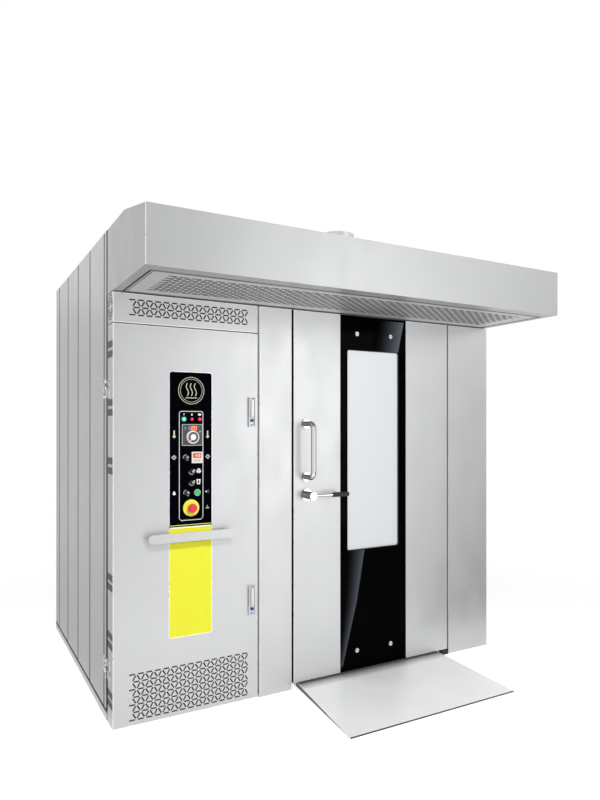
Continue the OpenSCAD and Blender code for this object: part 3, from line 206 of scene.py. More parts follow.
STEEL = (0.55, 0.555, 0.56)
BRUSH_UP = (700, 700, 5)
BRUSH_ACROSS = (5, 700, 700)
PRINT_WHITE = (0.80, 0.80, 0.78)

steel = brushed("stainless_brushed", STEEL, 0.5, 0.38, BRUSH_UP)
steel_across = brushed("stainless_brushed_across", STEEL, 0.5, 0.38, BRUSH_ACROSS)
hood_steel = brushed("hood_steel", (0.43, 0.435, 0.44), 0.45, 0.36, BRUSH_ACROSS)
ramp_steel = ramp_metal("ramp_steel", (0.94, 0.945, 0.95))
# Dark grey for painted shade: the ramp's left side and the slots in the glass screws.
ramp_and_slot_shade = moulded("ramp_and_slot_shade", (0.12, 0.12, 0.125), 0.6, 200.0)
hinge_metal = worn_metal("hinge_metal", (0.17, 0.18, 0.17), (0.86, 0.87, 0.84))
base_steel = brushed("base_steel", STEEL, 0.4, 0.42, BRUSH_ACROSS)
# Near-black steel for the rounded left pan starts: painted shade looking into the seams.
seam_dark = plain_metal("seam_dark", (0.035, 0.035, 0.037), 0.5, metallic=0.2)
# Pale steel for rounded edges: a painted highlight along them, lighter than the sheet.
edge_highlight = plain_metal("stainless_highlight", (0.93, 0.935, 0.94), 0.3, metallic=0.35)
steel_inside = brushed("stainless_inside", shade(STEEL, 0.8), 0.5, 0.5, BRUSH_UP, 0.08)
# Near black for the control cabinet: painted shade for what shows of it through the seams.
cabinet_shade_black = moulded("cabinet_shade_black", (0.02, 0.021, 0.022), 0.6, 300.0)
filter_steel = brushed("filter_steel", (0.64, 0.64, 0.64), 0.3, 0.45, BRUSH_ACROSS, 0.06)
chrome = rimmed_metal("polished_steel", (0.68, 0.68, 0.69), (0.04, 0.04, 0.045), 0.12)
zinc = plain_metal("zinc_plated", (0.62, 0.62, 0.6), 0.35, 120.0)
frame_paint = moulded("frame_paint", (0.16, 0.165, 0.17), 0.55, 300.0)
wool = moulded("mineral_wool", (0.62, 0.55, 0.36), 0.95, 60.0, 0.8, 0.1)
heat_steel = plain_metal("heat_steel", (0.36, 0.29, 0.24), 0.5, 90.0)
burner_paint = moulded("burner_paint", (0.45, 0.05, 0.04), 0.4)
motor_paint = moulded("motor_paint", (0.09, 0.19, 0.32), 0.45)
aluminium = plain_metal("aluminium", (0.74, 0.74, 0.75), 0.32, 200.0)
cast_iron = plain_metal("cast_iron", (0.2, 0.19, 0.19), 0.7, 160.0)
rubber = moulded("seal_rubber", (0.018, 0.018, 0.018), 0.7, 400.0, 0.3, 0.3)
black_glass = moulded("black_glass", (0.0004, 0.0004, 0.0006), 0.05, 900.0, 0.0, 0.012)
panel_black = moulded("panel_black", (0.0005, 0.0008, 0.0022), 0.3, 900.0, 0.1, 0.008)
yellow = moulded("strip_yellow", (0.82, 0.805, 0.035), 0.5, 900.0, 0.06, 0.2)
case_dark = moulded("case_plastic", (0.045, 0.047, 0.055), 0.45)
case_rim = moulded("case_rim", (0.42, 0.41, 0.42), 0.45)
timer_face = moulded("timer_face", (0.74, 0.68, 0.64), 0.45)
print_dark = moulded("print_dark", (0.12, 0.11, 0.11), 0.5)
dial_white = moulded("dial_plastic", (0.88, 0.88, 0.88), 0.35)
dial_dark = moulded("dial_dark", (0.07, 0.065, 0.065), 0.4)
grip_black = moulded("grip_plastic", (0.014, 0.014, 0.015), 0.45, 500.0, 0.3)
knob_black = moulded("knob_plastic", (0.012, 0.012, 0.014), 0.35)
print_white = moulded("print_white", PRINT_WHITE, 0.5)
print_gold = moulded("print_gold", (0.56, 0.56, 0.40), 0.5)
print_grey = moulded("print_grey", (0.42, 0.42, 0.42), 0.5)
print_pale = moulded("print_pale", (0.60, 0.60, 0.60), 0.5)
lens_green = glowing("lens_green", (0.1, 0.75, 0.6), (0.12, 0.95, 0.62), 0.75)
glow_green = glowing("glow_green", (0.0, 0.03, 0.012), (0.0, 1.0, 0.35), 0.018)
lens_red = glowing("lens_red", (0.75, 0.03, 0.05), (1.0, 0.04, 0.06), 0.25)
lens_red_lit = glowing("lens_red_lit", (0.85, 0.02, 0.06), (1.0, 0.03, 0.08), 0.6)
digit_red = glowing("digit_red", (1.0, 0.22, 0.1), (1.0, 0.25, 0.1), 1.1)
display_red = glowing("display_red", (0.35, 0.01, 0.01), (0.8, 0.03, 0.02), 0.22)
mark_green = moulded("mark_green", (0.06, 0.22, 0.10), 0.5)
digit_orange = glowing("digit_orange", (1.0, 0.5, 0.3), (1.0, 0.55, 0.3), 0.9)
button_green = moulded("button_green", (0.03, 0.5, 0.13), 0.35)
button_red = moulded("button_red", (0.72, 0.035, 0.045), 0.35)
disc_yellow = moulded("disc_yellow", (0.88, 0.86, 0.07), 0.45)
disc_mark = moulded("disc_mark", (0.75, 0.72, 0.08), 0.5)
button_blue = moulded("button_blue", (0.005, 0.055, 0.33), 0.3)
latch_metal = plain_metal("latch_metal", (0.62, 0.62, 0.63), 0.35, metallic=0.4)
# Near black for painted shade in gaps: the latch slots and the side seams.
gap_black_shade = moulded("gap_black_shade", (0.016, 0.017, 0.018), 0.7, 200.0)
slot_shadow = moulded("slot_shadow", (0.09, 0.092, 0.095), 0.7, 200.0)
# Near black for painted shade: slot walls, slot rims, gaps and dark sheets behind slots and grilles.
near_black = moulded("near_black", (0.006, 0.006, 0.007), 0.6, 200.0)
window_glass = moulded("window_glass", (0.64, 0.665, 0.69), 0.3, 700.0, 0.05, patch=260.0, vary=0.05)
# Grey for the strip deep in the cabinet door's seam: painted shade.
grey_seam_shade = moulded("grey_seam_shade", (0.17, 0.17, 0.175), 0.6, 200.0)
slot_bar = moulded("slot_bar", (0.22, 0.222, 0.225), 0.6, 200.0)
lamp_glass = moulded("lamp_glass", (0.82, 0.82, 0.78), 0.15, 300.0, 0.02)

NODE_FINISH = {
    "base_frame": base_steel, "floor_plate": steel_across, "wall_panels": steel, "roof_panels": steel_across,
    "insulation": wool, "chamber_liner": steel_inside, "duct_panel": steel_inside, "front_columns": steel,
    # door_pivots are near black: painted shade in the gap under the door's end.
    "front_frame": steel_inside, "door_seal": rubber, "door_pivots": near_black, "ramp": ramp_steel,
    "hood_shell": hood_steel, "hood_filter": filter_steel, "exhaust_collar": steel_across,
    "hood_fan": frame_paint, "control_cabinet": cabinet_shade_black, "cabinet_back": cabinet_shade_black,
    "flue_roof_panel": steel_across, "top_vent_panel": steel,
    "electrical_plate": zinc, "cooling_fan": rubber, "burner": burner_paint, "heat_exchanger": heat_steel,
    "roof_ducts": zinc, "damper_blade": zinc, "roof_motors": motor_paint, "circulation_fan": zinc,
    "steam_generator": cast_iron, "chamber_lamp": lamp_glass, "rack_carrier": aluminium,
    "fixed_hinge_leaves": hinge_metal, "oven_door": steel, "door_side_panels": steel,
    "door_glass": black_glass, "window_panes": window_glass, "glass_screws": aluminium,
    "pull_handle": chrome, "lever_handle": chrome, "lever_grip": grip_black, "latch_bolt": zinc,
    "control_door": steel, "door_hinge_leaves": hinge_metal, "control_panel": panel_black,
    "colour_strip": yellow, "control_instruments": case_dark,
    "temperature_dial": dial_white, "selector_1": knob_black, "selector_2": knob_black,
    "selector_3": knob_black, "selector_4": knob_black, "start_button": button_green,
    "stop_disc": disc_yellow, "stop_button": button_red, "rail_bar": steel_across,
    "latch_plates": latch_metal, "upper_latch_lever": latch_metal, "lower_latch_lever": latch_metal,
    "upper_latch_button": button_blue, "lower_latch_button": button_blue,
}
for name, node in nodes.items():
    for i in range(len(node.data.materials)):
        node.data.materials[i] = NODE_FINISH[name]


# Rounded sheet edges on the carried-over nodes, with a painted highlight or painted shade on the rounding


def round_edges(name, radius, keep, least=0.05, edge=edge_highlight, layer_name="bevel_weight_edge"):
    """Rounds the node's real edges that are at least that long and that keep(a, b) picks, giving the rounding
    the edge finish: by default the pale painted highlight.
    """
    obj = nodes[name]
    mesh = obj.data
    shape = bmesh.new()
    shape.from_mesh(mesh)
    shape.edges.ensure_lookup_table()
    weights = []
    for line in shape.edges:
        a, b = (corner.co for corner in line.verts)
        real = line.is_boundary and (a - b).length >= least
        weights.append(1.0 if real and keep(a, b) else 0.0)
    shape.free()
    layer = mesh.attributes.new(layer_name, "FLOAT", "EDGE")
    layer.data.foreach_set("value", weights)
    if "weld" not in obj.modifiers:
        weld = obj.modifiers.new("weld", "WELD")
        weld.merge_threshold = 0.00001
    bevel = obj.modifiers.new(layer_name, "BEVEL")
    bevel.limit_method = "WEIGHT"
    bevel.edge_weight = layer_name
    bevel.width = radius
    bevel.segments = 3
    bevel.harden_normals = True
    if edge:
        mesh.materials.append(edge)
        bevel.material = len(mesh.materials) - 1


def on_plane(axis, *values):
    """A test that both ends of an edge lie on one of these planes."""

    def test(a, b):
        return any(abs(a[axis] - v) < 1e-5 and abs(b[axis] - v) < 1e-5 for v in values)
    return test


def paint_faces(name, mat, keep):
    """Gives this finish to the node's faces that keep(centre, normal) picks."""
    mesh = nodes[name].data
    mesh.materials.append(mat)
    for face in mesh.polygons:
        if keep(face.center, face.normal):
            face.material_index = len(mesh.materials) - 1


in_sheet = 2.1 * MM


def slot_walls(name):
    """Paints the cut edges of the vent slots, which lie in the node's front sheet, near black as painted
    shade.
    """
    lo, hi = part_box(name)
    side, rim, field_h = 30 * MM, 8 * MM, 260 * MM
    paint_faces(name, near_black, lambda at, way: abs(way.y) < 0.5 and at.y < lo.y + in_sheet
                and lo.x + side < at.x < hi.x - side
                and lo.z + rim < at.z < min(hi.z, lo.z + field_h) - rim)


door_lo, door_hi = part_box("control_door")
vent_lo, vent_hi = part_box("top_vent_panel")
slot_walls("control_door")
slot_walls("top_vent_panel")
filter_lo, filter_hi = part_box("hood_filter")
filter_rim = 9 * MM
# The filter's slot walls are painted in shade.
paint_faces("hood_filter", near_black, lambda at, way: abs(way.z) < 0.5
            and filter_lo.x + filter_rim < at.x < filter_hi.x - filter_rim
            and filter_lo.y + filter_rim < at.y < filter_hi.y - filter_rim)
ramp_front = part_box("ramp")[0].y
# The ramp's left side and its front face are painted in shade, dark grey and near black.
paint_faces("ramp", ramp_and_slot_shade, lambda at, way: way.x < -0.5)
paint_faces("ramp", near_black, lambda at, way: way.y < -0.9)
fan_lo, fan_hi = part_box("cooling_fan")
fan_mid = (fan_lo + fan_hi) / 2
grille_y, grille_z = 44.6 * MM, 58 * MM
# The walls of the fan grille's ring slots are painted in shade.
paint_faces("top_vent_panel", near_black, lambda at, way: abs(way.x) < 0.5 and at.x < vent_lo.x + in_sheet
            and abs(at.y - fan_mid.y) < grille_y and abs(at.z - fan_mid.z) < grille_z)


def front_of(name):
    return on_plane(1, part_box(name)[0].y)


# Front sheet edges are rounded in the pale painted highlight.
SHEET_ROUND = 2.8 * MM
for name in ("control_door", "top_vent_panel", "front_columns", "door_side_panels"):
    round_edges(name, SHEET_ROUND, front_of(name))
wall_lo, wall_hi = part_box("wall_panels")
wall_left, wall_right, wall_rear = on_plane(0, wall_lo.x), on_plane(0, wall_hi.x), on_plane(1, wall_hi.y)


def left_pan_starts():
    """The Y at which each left pan begins, from the node's own corners."""
    corners = nodes["wall_panels"].data.vertices
    return sorted({round(v.co.y, 5) for v in corners if abs(v.co.x - wall_lo.x) < 1e-5})[0::2]


pan_starts = left_pan_starts()


def at_any(a, b, values):
    return any(abs(a.y - v) < 1e-4 and abs(b.y - v) < 1e-4 for v in values)


# The left pans' starts are rounded in painted seam shade, the right and rear edges in the painted highlight.
round_edges("wall_panels", 5 * MM, lambda a, b: wall_left(a, b) and at_any(a, b, pan_starts),
            edge=seam_dark, layer_name="seam_dark")
round_edges("wall_panels", 2 * MM, lambda a, b: wall_right(a, b) or wall_rear(a, b),
            layer_name="seam_back")
hood_lo, hood_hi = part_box("hood_shell")
hood_ends = on_plane(0, hood_lo.x, hood_hi.x)


def hood_edge(a, b):
    across = abs(abs(a.x - b.x) - (hood_hi.x - hood_lo.x)) < 1e-5
    below = max(a.z, b.z) < hood_lo.z + 1 * MM
    return across or (hood_ends(a, b) and not below)


round_edges("hood_shell", SHEET_ROUND, hood_edge)


def slot_edges(name, axis, at, lo, hi, width):
    """Turns in the edges of the punched slots between lo and hi on one face, the rounding near black as
    painted shadow.
    """
    others = [k for k in range(3) if k != axis]

    def inside(v):
        return abs(v[axis] - at) < 1e-5 and all(lo[k] < v[k] < hi[k] for k in others)
    round_edges(name, width, lambda a, b: inside(a) and inside(b), 0.0005, near_black, "slot_edge")


edge_gap = Vector((0.03, 0.03, 0.008))
slot_edges("control_door", 1, door_lo.y, door_lo + edge_gap,
           Vector((door_hi.x, door_hi.y, door_lo.z + 0.25)) - edge_gap, 0.7 * MM)
slot_edges("top_vent_panel", 1, vent_lo.y, vent_lo + edge_gap, vent_hi - edge_gap, 0.7 * MM)
slot_edges("hood_filter", 2, filter_lo.z, filter_lo + edge_gap, filter_hi - edge_gap, 1.7 * MM)
round_edges("rail_bar", 1.5 * MM, front_of("rail_bar"), 0.001)
round_edges("ramp", 1.6 * MM, lambda a, b: max(a.y, b.y) > ramp_front + 1 * MM, 0.02)
for name in ("fixed_hinge_leaves", "door_hinge_leaves"):
    round_edges(name, 0.8 * MM, lambda a, b: abs(a.z - b.z) > 20 * MM, 0.02)
round_edges("latch_plates", 1.2 * MM, front_of("latch_plates"), 0.02, None)


# Mesh building


def piece(name, shape, mat, body, bevel=0.0, angle=35):
    """Turns a bmesh into a piece that rides on a body."""
    bmesh.ops.remove_doubles(shape, verts=shape.verts, dist=1e-7)
    bmesh.ops.recalc_face_normals(shape, faces=shape.faces)
    mesh = bpy.data.meshes.new(name)
    shape.to_mesh(mesh)
    shape.free()
    mesh.materials.append(mat)
    for face in mesh.polygons:
        face.use_smooth = True
    mesh.set_sharp_from_angle(angle=math.radians(angle))
    obj = bpy.data.objects.new(name, mesh)
    scene.collection.objects.link(obj)
    if bevel:
        rounding = obj.modifiers.new("round_edges", "BEVEL")
        rounding.width = bevel
        rounding.segments = 2
        rounding.limit_method = "ANGLE"
        rounding.angle_limit = math.radians(40)
        rounding.harden_normals = True
    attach(obj, body)
    return obj


def loop_at(shape, points, y):
    return [shape.verts.new((x, y, z)) for x, z in points]


def prism(shape, points, y0, y1):
    """A solid with this outline in X and Z, from y0 to y1."""
    near, far = loop_at(shape, points, y0), loop_at(shape, points, y1)
    shape.faces.new(near)
    shape.faces.new(list(reversed(far)))
    for i in range(len(points)):
        j = (i + 1) % len(points)
        shape.faces.new((near[i], near[j], far[j], far[i]))


def band(shape, outer, inner, y0, y1, closed=True):
    """A flat strip between two outlines with the same number of points, from y0 to y1."""
    rows = [loop_at(shape, points, y) for points, y in ((outer, y0), (inner, y0), (inner, y1), (outer, y1))]
    last = len(outer) if closed else len(outer) - 1
    for i in range(last):
        j = (i + 1) % len(outer)
        for k in range(4):
            a, b = rows[k], rows[(k + 1) % 4]
            shape.faces.new((a[i], a[j], b[j], b[i]))
    if not closed:
        shape.faces.new([row[0] for row in rows])
        shape.faces.new([row[-1] for row in reversed(rows)])


def arc_points(x, z, r, start=0.0, end=360.0, count=32):
    closed = abs(end - start) >= 360
    steps = count if closed else count - 1
    turns = [math.radians(start + (end - start) * i / steps) for i in range(count)]
    return [(x + r * math.cos(t), z + r * math.sin(t)) for t in turns]


def arc_band(shape, x, z, r0, r1, y0, y1, start=0.0, end=360.0, count=32):
    closed = abs(end - start) >= 360
    outer = arc_points(x, z, r1, start, end, count)
    inner = arc_points(x, z, r0, start, end, count)
    band(shape, outer, inner, y0, y1, closed)


def corner_rect(x0, z0, x1, z1, r, count=6, chamfer_below=False):
    """The outline of a rectangle with round corners, the lower two cut straight if asked."""
    centres = ((x1 - r, z1 - r, 0), (x0 + r, z1 - r, 90), (x0 + r, z0 + r, 180), (x1 - r, z0 + r, 270))
    points = []
    for x, z, start in centres:
        straight = chamfer_below and z < (z0 + z1) / 2
        for i in range(count):
            share = i / (count - 1)
            if straight:
                a = (x + r * math.cos(math.radians(start)), z + r * math.sin(math.radians(start)))
                b = (x + r * math.cos(math.radians(start + 90)), z + r * math.sin(math.radians(start + 90)))
                points.append((a[0] + (b[0] - a[0]) * share, a[1] + (b[1] - a[1]) * share))
            else:
                t = math.radians(start + 90 * share)
                points.append((x + r * math.cos(t), z + r * math.sin(t)))
    return points


def lathe_y(shape, x, z, profile, count=40):
    """Turns (radius, y) points round an axis along Y."""
    rows = []
    for r, y in profile:
        if r < 1e-7:
            rows.append([shape.verts.new((x, y, z))])
        else:
            rows.append(loop_at(shape, arc_points(x, z, r, count=count), y))
    for a, b in zip(rows, rows[1:]):
        for i in range(count):
            j = (i + 1) % count
            if len(a) == 1:
                shape.faces.new((a[0], b[j], b[i]))
            elif len(b) == 1:
                shape.faces.new((a[i], a[j], b[0]))
            else:
                shape.faces.new((a[i], a[j], b[j], b[i]))


def lathe_x(shape, y, z, profile, count=40):
    """Turns (radius, x) points round an axis along X."""
    rows = []
    for r, x in profile:
        if r < 1e-7:
            rows.append([shape.verts.new((x, y, z))])
        else:
            turns = [2 * math.pi * i / count for i in range(count)]
            rows.append([shape.verts.new((x, y + r * math.cos(t), z + r * math.sin(t))) for t in turns])
    for a, b in zip(rows, rows[1:]):
        for i in range(count):
            j = (i + 1) % count
            if len(a) == 1:
                shape.faces.new((a[0], b[j], b[i]))
            elif len(b) == 1:
                shape.faces.new((a[i], a[j], b[0]))
            else:
                shape.faces.new((a[i], a[j], b[j], b[i]))


def turned(name, x, z, profile, mat, body, count=40):
    """A piece that is turned round an axis along Y."""
    shape = bmesh.new()
    lathe_y(shape, x, z, profile, count)
    return piece(name, shape, mat, body)


def spots(x, z, points):
    """Points given in millimetres from x and z."""
    return [(x + a * MM, z + b * MM) for a, b in points]


def centre(lo, hi):
    """The middle in X and Z and the radius in Z of a round thing's box."""
    return (lo.x + hi.x) / 2, (lo.z + hi.z) / 2, (hi.z - lo.z) / 2


def stroke(shape, points, width, y0, y1):
    """A flat ribbon of this width along a line of points."""
    left, right = [], []
    for i, (x, z) in enumerate(points):
        ax, az = points[max(i - 1, 0)]
        bx, bz = points[min(i + 1, len(points) - 1)]
        dx, dz = bx - ax, bz - az
        size = math.hypot(dx, dz) or 1.0
        nx, nz = -dz / size * width / 2, dx / size * width / 2
        left.append((x + nx, z + nz))
        right.append((x - nx, z - nz))
    band(shape, left, right, y0, y1, False)


def bar(shape, x, z, w, h, y0, y1):
    prism(shape, corner_rect(x - w / 2, z - h / 2, x + w / 2, z + h / 2, min(w, h) * 0.2, 3), y0, y1)


# Control panel

panel_lo, panel_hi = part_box("control_panel")
strip_lo, strip_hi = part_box("colour_strip")
panel_mid = (panel_lo.x + panel_hi.x) / 2
panel_y = panel_lo.y
ink = 0.4 * MM
DOOR = "cabinet_door"


def px(offset):
    return panel_mid + offset * MM


def pz(height):
    return height * MM


def prints(name, mat, draw, depth=ink, y=panel_y):
    """Raised print on a flat face at y."""
    shape = bmesh.new()
    draw(shape, y - depth, y)
    return piece(name, shape, mat, DOOR)


def draw_outline(shape, y0, y1):
    line = 3.4 * MM
    x0, z0, x1, z1 = px(-57), pz(882), px(59), pz(1380)
    outer = corner_rect(x0, z0, x1, z1, 11 * MM, chamfer_below=True)
    inner = corner_rect(x0 + line, z0 + line, x1 - line, z1 - line, 8 * MM, chamfer_below=True)
    band(shape, outer, inner, y0, y1)


prints("panel_outline", print_pale, draw_outline)


def draw_rim(lo, hi, radius):
    def draw(shape, y0, y1):
        line = 3 * MM
        outer = corner_rect(lo.x - line, lo.z - line, hi.x + line, hi.z + line, radius + line)
        inner = corner_rect(lo.x, lo.z, hi.x, hi.z, radius)
        band(shape, outer, inner, y0, y1)
    return draw


# Rims round the panel and the strip in the pale painted highlight.
prints("panel_rim", edge_highlight, draw_rim(panel_lo, panel_hi, 12 * MM), 2 * MM, panel_hi.y)
prints("strip_rim", edge_highlight, draw_rim(strip_lo, strip_hi, 10 * MM), 1.2 * MM, strip_hi.y)


def draw_emblem(shape, y0, y1):
    x, z = px(1.5), pz(1473)
    arc_band(shape, x, z, 59.5 * MM, 62 * MM, y0, y1, count=64)
    arc_band(shape, x, z, 51 * MM, 52.6 * MM, y0, y1, count=64)
    for k in (-1, 0, 1):
        wave = []
        for i in range(25):
            rise = i / 24
            sway = math.sin(rise * 2 * math.pi) * 5 * MM
            wave.append((x + k * 19 * MM + sway, z + (rise - 0.42) * 58 * MM))
        stroke(shape, wave, 3.6 * MM, y0, y1)
    bar(shape, x, z - 33 * MM, 54 * MM, 3.6 * MM, y0, y1)


prints("steam_emblem", print_gold, draw_emblem)


def draw_lower_line(shape, y0, y1):
    bar(shape, px(0), panel_lo.z + 7.5 * MM, panel_hi.x - panel_lo.x - 6 * MM, 3.2 * MM, y0, y1)


prints("panel_lower_line", disc_mark, draw_lower_line)

case_lo, case_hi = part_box("control_instruments")
case_y = case_lo.y
dial_lo, dial_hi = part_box("temperature_dial")
dial_x, dial_z, dial_r = centre(dial_lo, dial_hi)
lamp_r = 7.5 * MM
lamp_pitch = 37.5 * MM
lamp_z = case_hi.z - lamp_r
lamp_xs = (dial_x - lamp_pitch, dial_x, dial_x + lamp_pitch)
lamp_front = panel_y - 6 * MM


def lamp(name, x, mat, share):
    """A ring on the panel with a domed lens in it, within the lamp's length."""
    hole_r = lamp_r - 1.4 * MM
    ring_y = panel_y - 2 * MM
    ring = turned(name + "_ring", x, lamp_z, (
        (lamp_r, panel_y), (lamp_r, ring_y), (lamp_r - 0.8 * MM, ring_y - 0.6 * MM),
        (hole_r, ring_y), (hole_r, panel_y)), dial_dark, DOOR, 32)
    r = lamp_r * share
    lens = turned(name + "_lens", x, lamp_z, (
        (r, panel_y), (r, lamp_front + 3 * MM), (r * 0.92, lamp_front + 1.6 * MM),
        (r * 0.66, lamp_front + 0.6 * MM), (r * 0.3, lamp_front + 0.1 * MM), (0, lamp_front)),
        mat, DOOR, 32)
    return ring, lens


lamps = [
    *lamp("lamp_left", lamp_xs[0], lens_green, 1.14),
    *lamp("lamp_middle", lamp_xs[1], lens_red, 0.9),
    *lamp("lamp_right", lamp_xs[2], lens_red_lit, 1.04),
]


# A faint green glow printed round the lit lamp: a painted pool of its light on the panel.
def draw_lamp_glow(shape, y0, y1):
    arc_band(shape, lamp_xs[0], lamp_z, lamp_r, lamp_r + 7 * MM, y0 + 0.2 * MM, y1)


prints("lamp_glow", glow_green, draw_lamp_glow)
for part in lamps:
    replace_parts(part, "control_instruments")


def draw_lamp_signs(shape, y0, y1):
    z = pz(1364)
    left, middle, right = lamp_xs
    bolt = ((0.5, 5), (-3.2, -0.8), (-0.4, -0.8), (-2.2, -5), (3, 1), (0.4, 1), (3.2, 5))
    prism(shape, spots(left, z, bolt), y0, y1)
    drop = [(middle, z + 6 * MM)] + arc_points(middle, z - 1 * MM, 4 * MM, 140, 400, 14)
    prism(shape, drop, y0, y1)
    turns = [2 * math.pi * i / 20 for i in range(20)]
    prism(shape, spots(right, z, [(8 * math.cos(t), 5 * math.sin(t)) for t in turns]), y0, y1)


prints("lamp_signs", print_white, draw_lamp_signs)


def draw_thermometers(shape, y0, y1):
    for x, z in ((px(-79.5), pz(1272)), (px(80), pz(1271))):
        bar(shape, x, z + 8 * MM, 6.5 * MM, 24 * MM, y0, y1)
        prism(shape, spots(x, z, ((0, -16), (8, -9), (5, -3), (-5, -3), (-8, -9))), y0, y1)


prints("thermometer_signs", print_gold, draw_thermometers)


def draw_side_signs(shape, y0, y1):
    for x, z in ((px(-80), pz(1170)), (px(81), pz(1171))):
        far, near = (arc_points(x, z, r * MM, 0, 360, 8) for r in (11.5, 11.5 * 0.78))
        outer = [far[i] if i % 2 == 0 else near[i] for i in range(8)]
        inner = arc_points(x, z, 4 * MM, 0, 360, 8)
        band(shape, outer, inner, y0, y1)
    x, z = px(79), pz(940)
    bar(shape, x, z - 6 * MM, 17 * MM, 5 * MM, y0, y1)
    prism(shape, spots(x, z, ((-4, -2), (4, -2), (0, 9))), y0, y1)


prints("side_signs", print_grey, draw_side_signs)


def draw_bulb_and_horn(shape, y0, y1):
    x, z = px(-79.4), pz(1009)
    prism(shape, arc_points(x, z - 2 * MM, 7 * MM, 115, 425, 18) + spots(x, z, ((2, 9), (-2, 9))), y0, y1)
    prism(shape, spots(px(79), pz(1010), ((-11, 0), (-2, 5), (-2, -5))), y0, y1)


prints("bulb_and_horn_signs", print_white, draw_bulb_and_horn)


def draw_horn_waves(shape, y0, y1):
    x, z = px(78), pz(1010)
    arc_band(shape, x, z, 8.5 * MM, 10 * MM, y0, y1, -70, 70, 14)
    arc_band(shape, x, z, 4.5 * MM, 5.6 * MM, y0, y1, -60, 60, 12)


prints("horn_waves", print_dark, draw_horn_waves)

controller_w = 98 * MM
controller_x = dial_x
controller_z = dial_z + 10 * MM
timer_w = 52 * MM
timer_x, timer_z = px(27), pz(1168)


def square_case(name, x, z, w, rim_mat, face_mat, rim):
    """A case with a rim round a sunk face, both as deep as the CAD case."""
    parts = []
    half = w / 2
    shape = bmesh.new()
    outer = corner_rect(x - half, z - half, x + half, z + half, 2.5 * MM)
    inner = corner_rect(x - half + rim, z - half + rim, x + half - rim, z + half - rim, 1.5 * MM)
    band(shape, outer, inner, case_y, panel_y)
    parts.append(piece(name + "_rim", shape, rim_mat, DOOR, 0.5 * MM))
    shape = bmesh.new()
    prism(shape, inner, case_y + 1.2 * MM, panel_y)
    parts.append(piece(name + "_face", shape, face_mat, DOOR))
    return parts


instruments = square_case("controller", controller_x, controller_z, controller_w, case_rim, case_dark, 3 * MM)
instruments += square_case("timer", timer_x, timer_z, timer_w, timer_face, timer_face, 2 * MM)
face_y = case_y + 1.2 * MM

SEGMENTS = {
    "0": "abcdef", "1": "bc", "2": "abdeg", "3": "abcdg", "4": "bcfg",
    "5": "acdfg", "6": "acdefg", "7": "abc", "8": "abcdefg", "9": "abcdfg",
}


def digits(shape, text, x, z, w, h, gap, line, y0, y1):
    """Seven-segment digits, centred at x and z."""
    width = len(text) * w + (len(text) - 1) * gap
    for i, mark in enumerate(text):
        mid = x - width / 2 + w / 2 + i * (w + gap)
        places = {
            "a": (mid, z + h / 2, w, line), "g": (mid, z, w, line), "d": (mid, z - h / 2, w, line),
            "b": (mid + w / 2, z + h / 4, line, h / 2), "c": (mid + w / 2, z - h / 4, line, h / 2),
            "f": (mid - w / 2, z + h / 4, line, h / 2), "e": (mid - w / 2, z - h / 4, line, h / 2),
        }
        for key in SEGMENTS[mark]:
            sx, sz, sw, sh = places[key]
            prism(shape, [(sx - sw / 2, sz - sh / 2), (sx + sw / 2, sz - sh / 2),
                          (sx + sw / 2, sz + sh / 2), (sx - sw / 2, sz + sh / 2)], y0, y1)


def on_face(name, mat, draw):
    shape = bmesh.new()
    draw(shape, face_y - ink, face_y)
    instruments.append(piece(name, shape, mat, DOOR))


top_z = controller_z + controller_w / 2


def draw_controller_display(shape, y0, y1):
    outline = corner_rect(controller_x - 7 * MM, top_z - 28 * MM, controller_x + 20 * MM, top_z - 8 * MM,
                          1 * MM, 3)
    prism(shape, outline, y0 + 0.2 * MM, y1)


def draw_controller_digits(shape, y0, y1):
    digits(shape, "20", controller_x + 7 * MM, top_z - 18 * MM, 9.5 * MM, 15 * MM, 6 * MM, 3.4 * MM, y0, y1)


def draw_controller_dim(shape, y0, y1):
    digits(shape, "8", controller_x - 14 * MM, top_z - 18 * MM, 7 * MM, 13 * MM, 3 * MM, 2 * MM, y0, y1)


def draw_controller_marks(shape, y0, y1):
    bar(shape, controller_x + 36 * MM, top_z - 34 * MM, 8 * MM, 7 * MM, y0, y1)
    bar(shape, controller_x - 34 * MM, top_z - 16 * MM, 9 * MM, 3 * MM, y0, y1)
    bar(shape, controller_x - 34 * MM, top_z - 24 * MM, 6 * MM, 2.5 * MM, y0, y1)


def draw_controller_green(shape, y0, y1):
    bar(shape, controller_x + 32 * MM, top_z - 13 * MM, 8 * MM, 4 * MM, y0, y1)


on_face("controller_display", display_red, draw_controller_display)
on_face("controller_digits", digit_red, draw_controller_digits)
on_face("controller_dim_digit", print_grey, draw_controller_dim)
on_face("controller_marks", print_grey, draw_controller_marks)
on_face("controller_green_mark", mark_green, draw_controller_green)


def draw_timer_display(shape, y0, y1):
    outline = corner_rect(timer_x - 19 * MM, timer_z - 2 * MM, timer_x + 19 * MM, timer_z + 19 * MM,
                          1.5 * MM, 3)
    prism(shape, outline, y0 + 0.2 * MM, y1)


def draw_timer_digits(shape, y0, y1):
    digits(shape, "1530", timer_x, timer_z + 8.5 * MM, 4.6 * MM, 9 * MM, 3.4 * MM, 1.6 * MM, y0, y1)


def draw_timer_small(shape, y0, y1):
    digits(shape, "60123", timer_x, timer_z - 13 * MM, 3.4 * MM, 6 * MM, 2.6 * MM, 1.1 * MM, y0, y1)


on_face("timer_display", display_red, draw_timer_display)
on_face("timer_digits", digit_orange, draw_timer_digits)
on_face("timer_small_digits", print_dark, draw_timer_small)

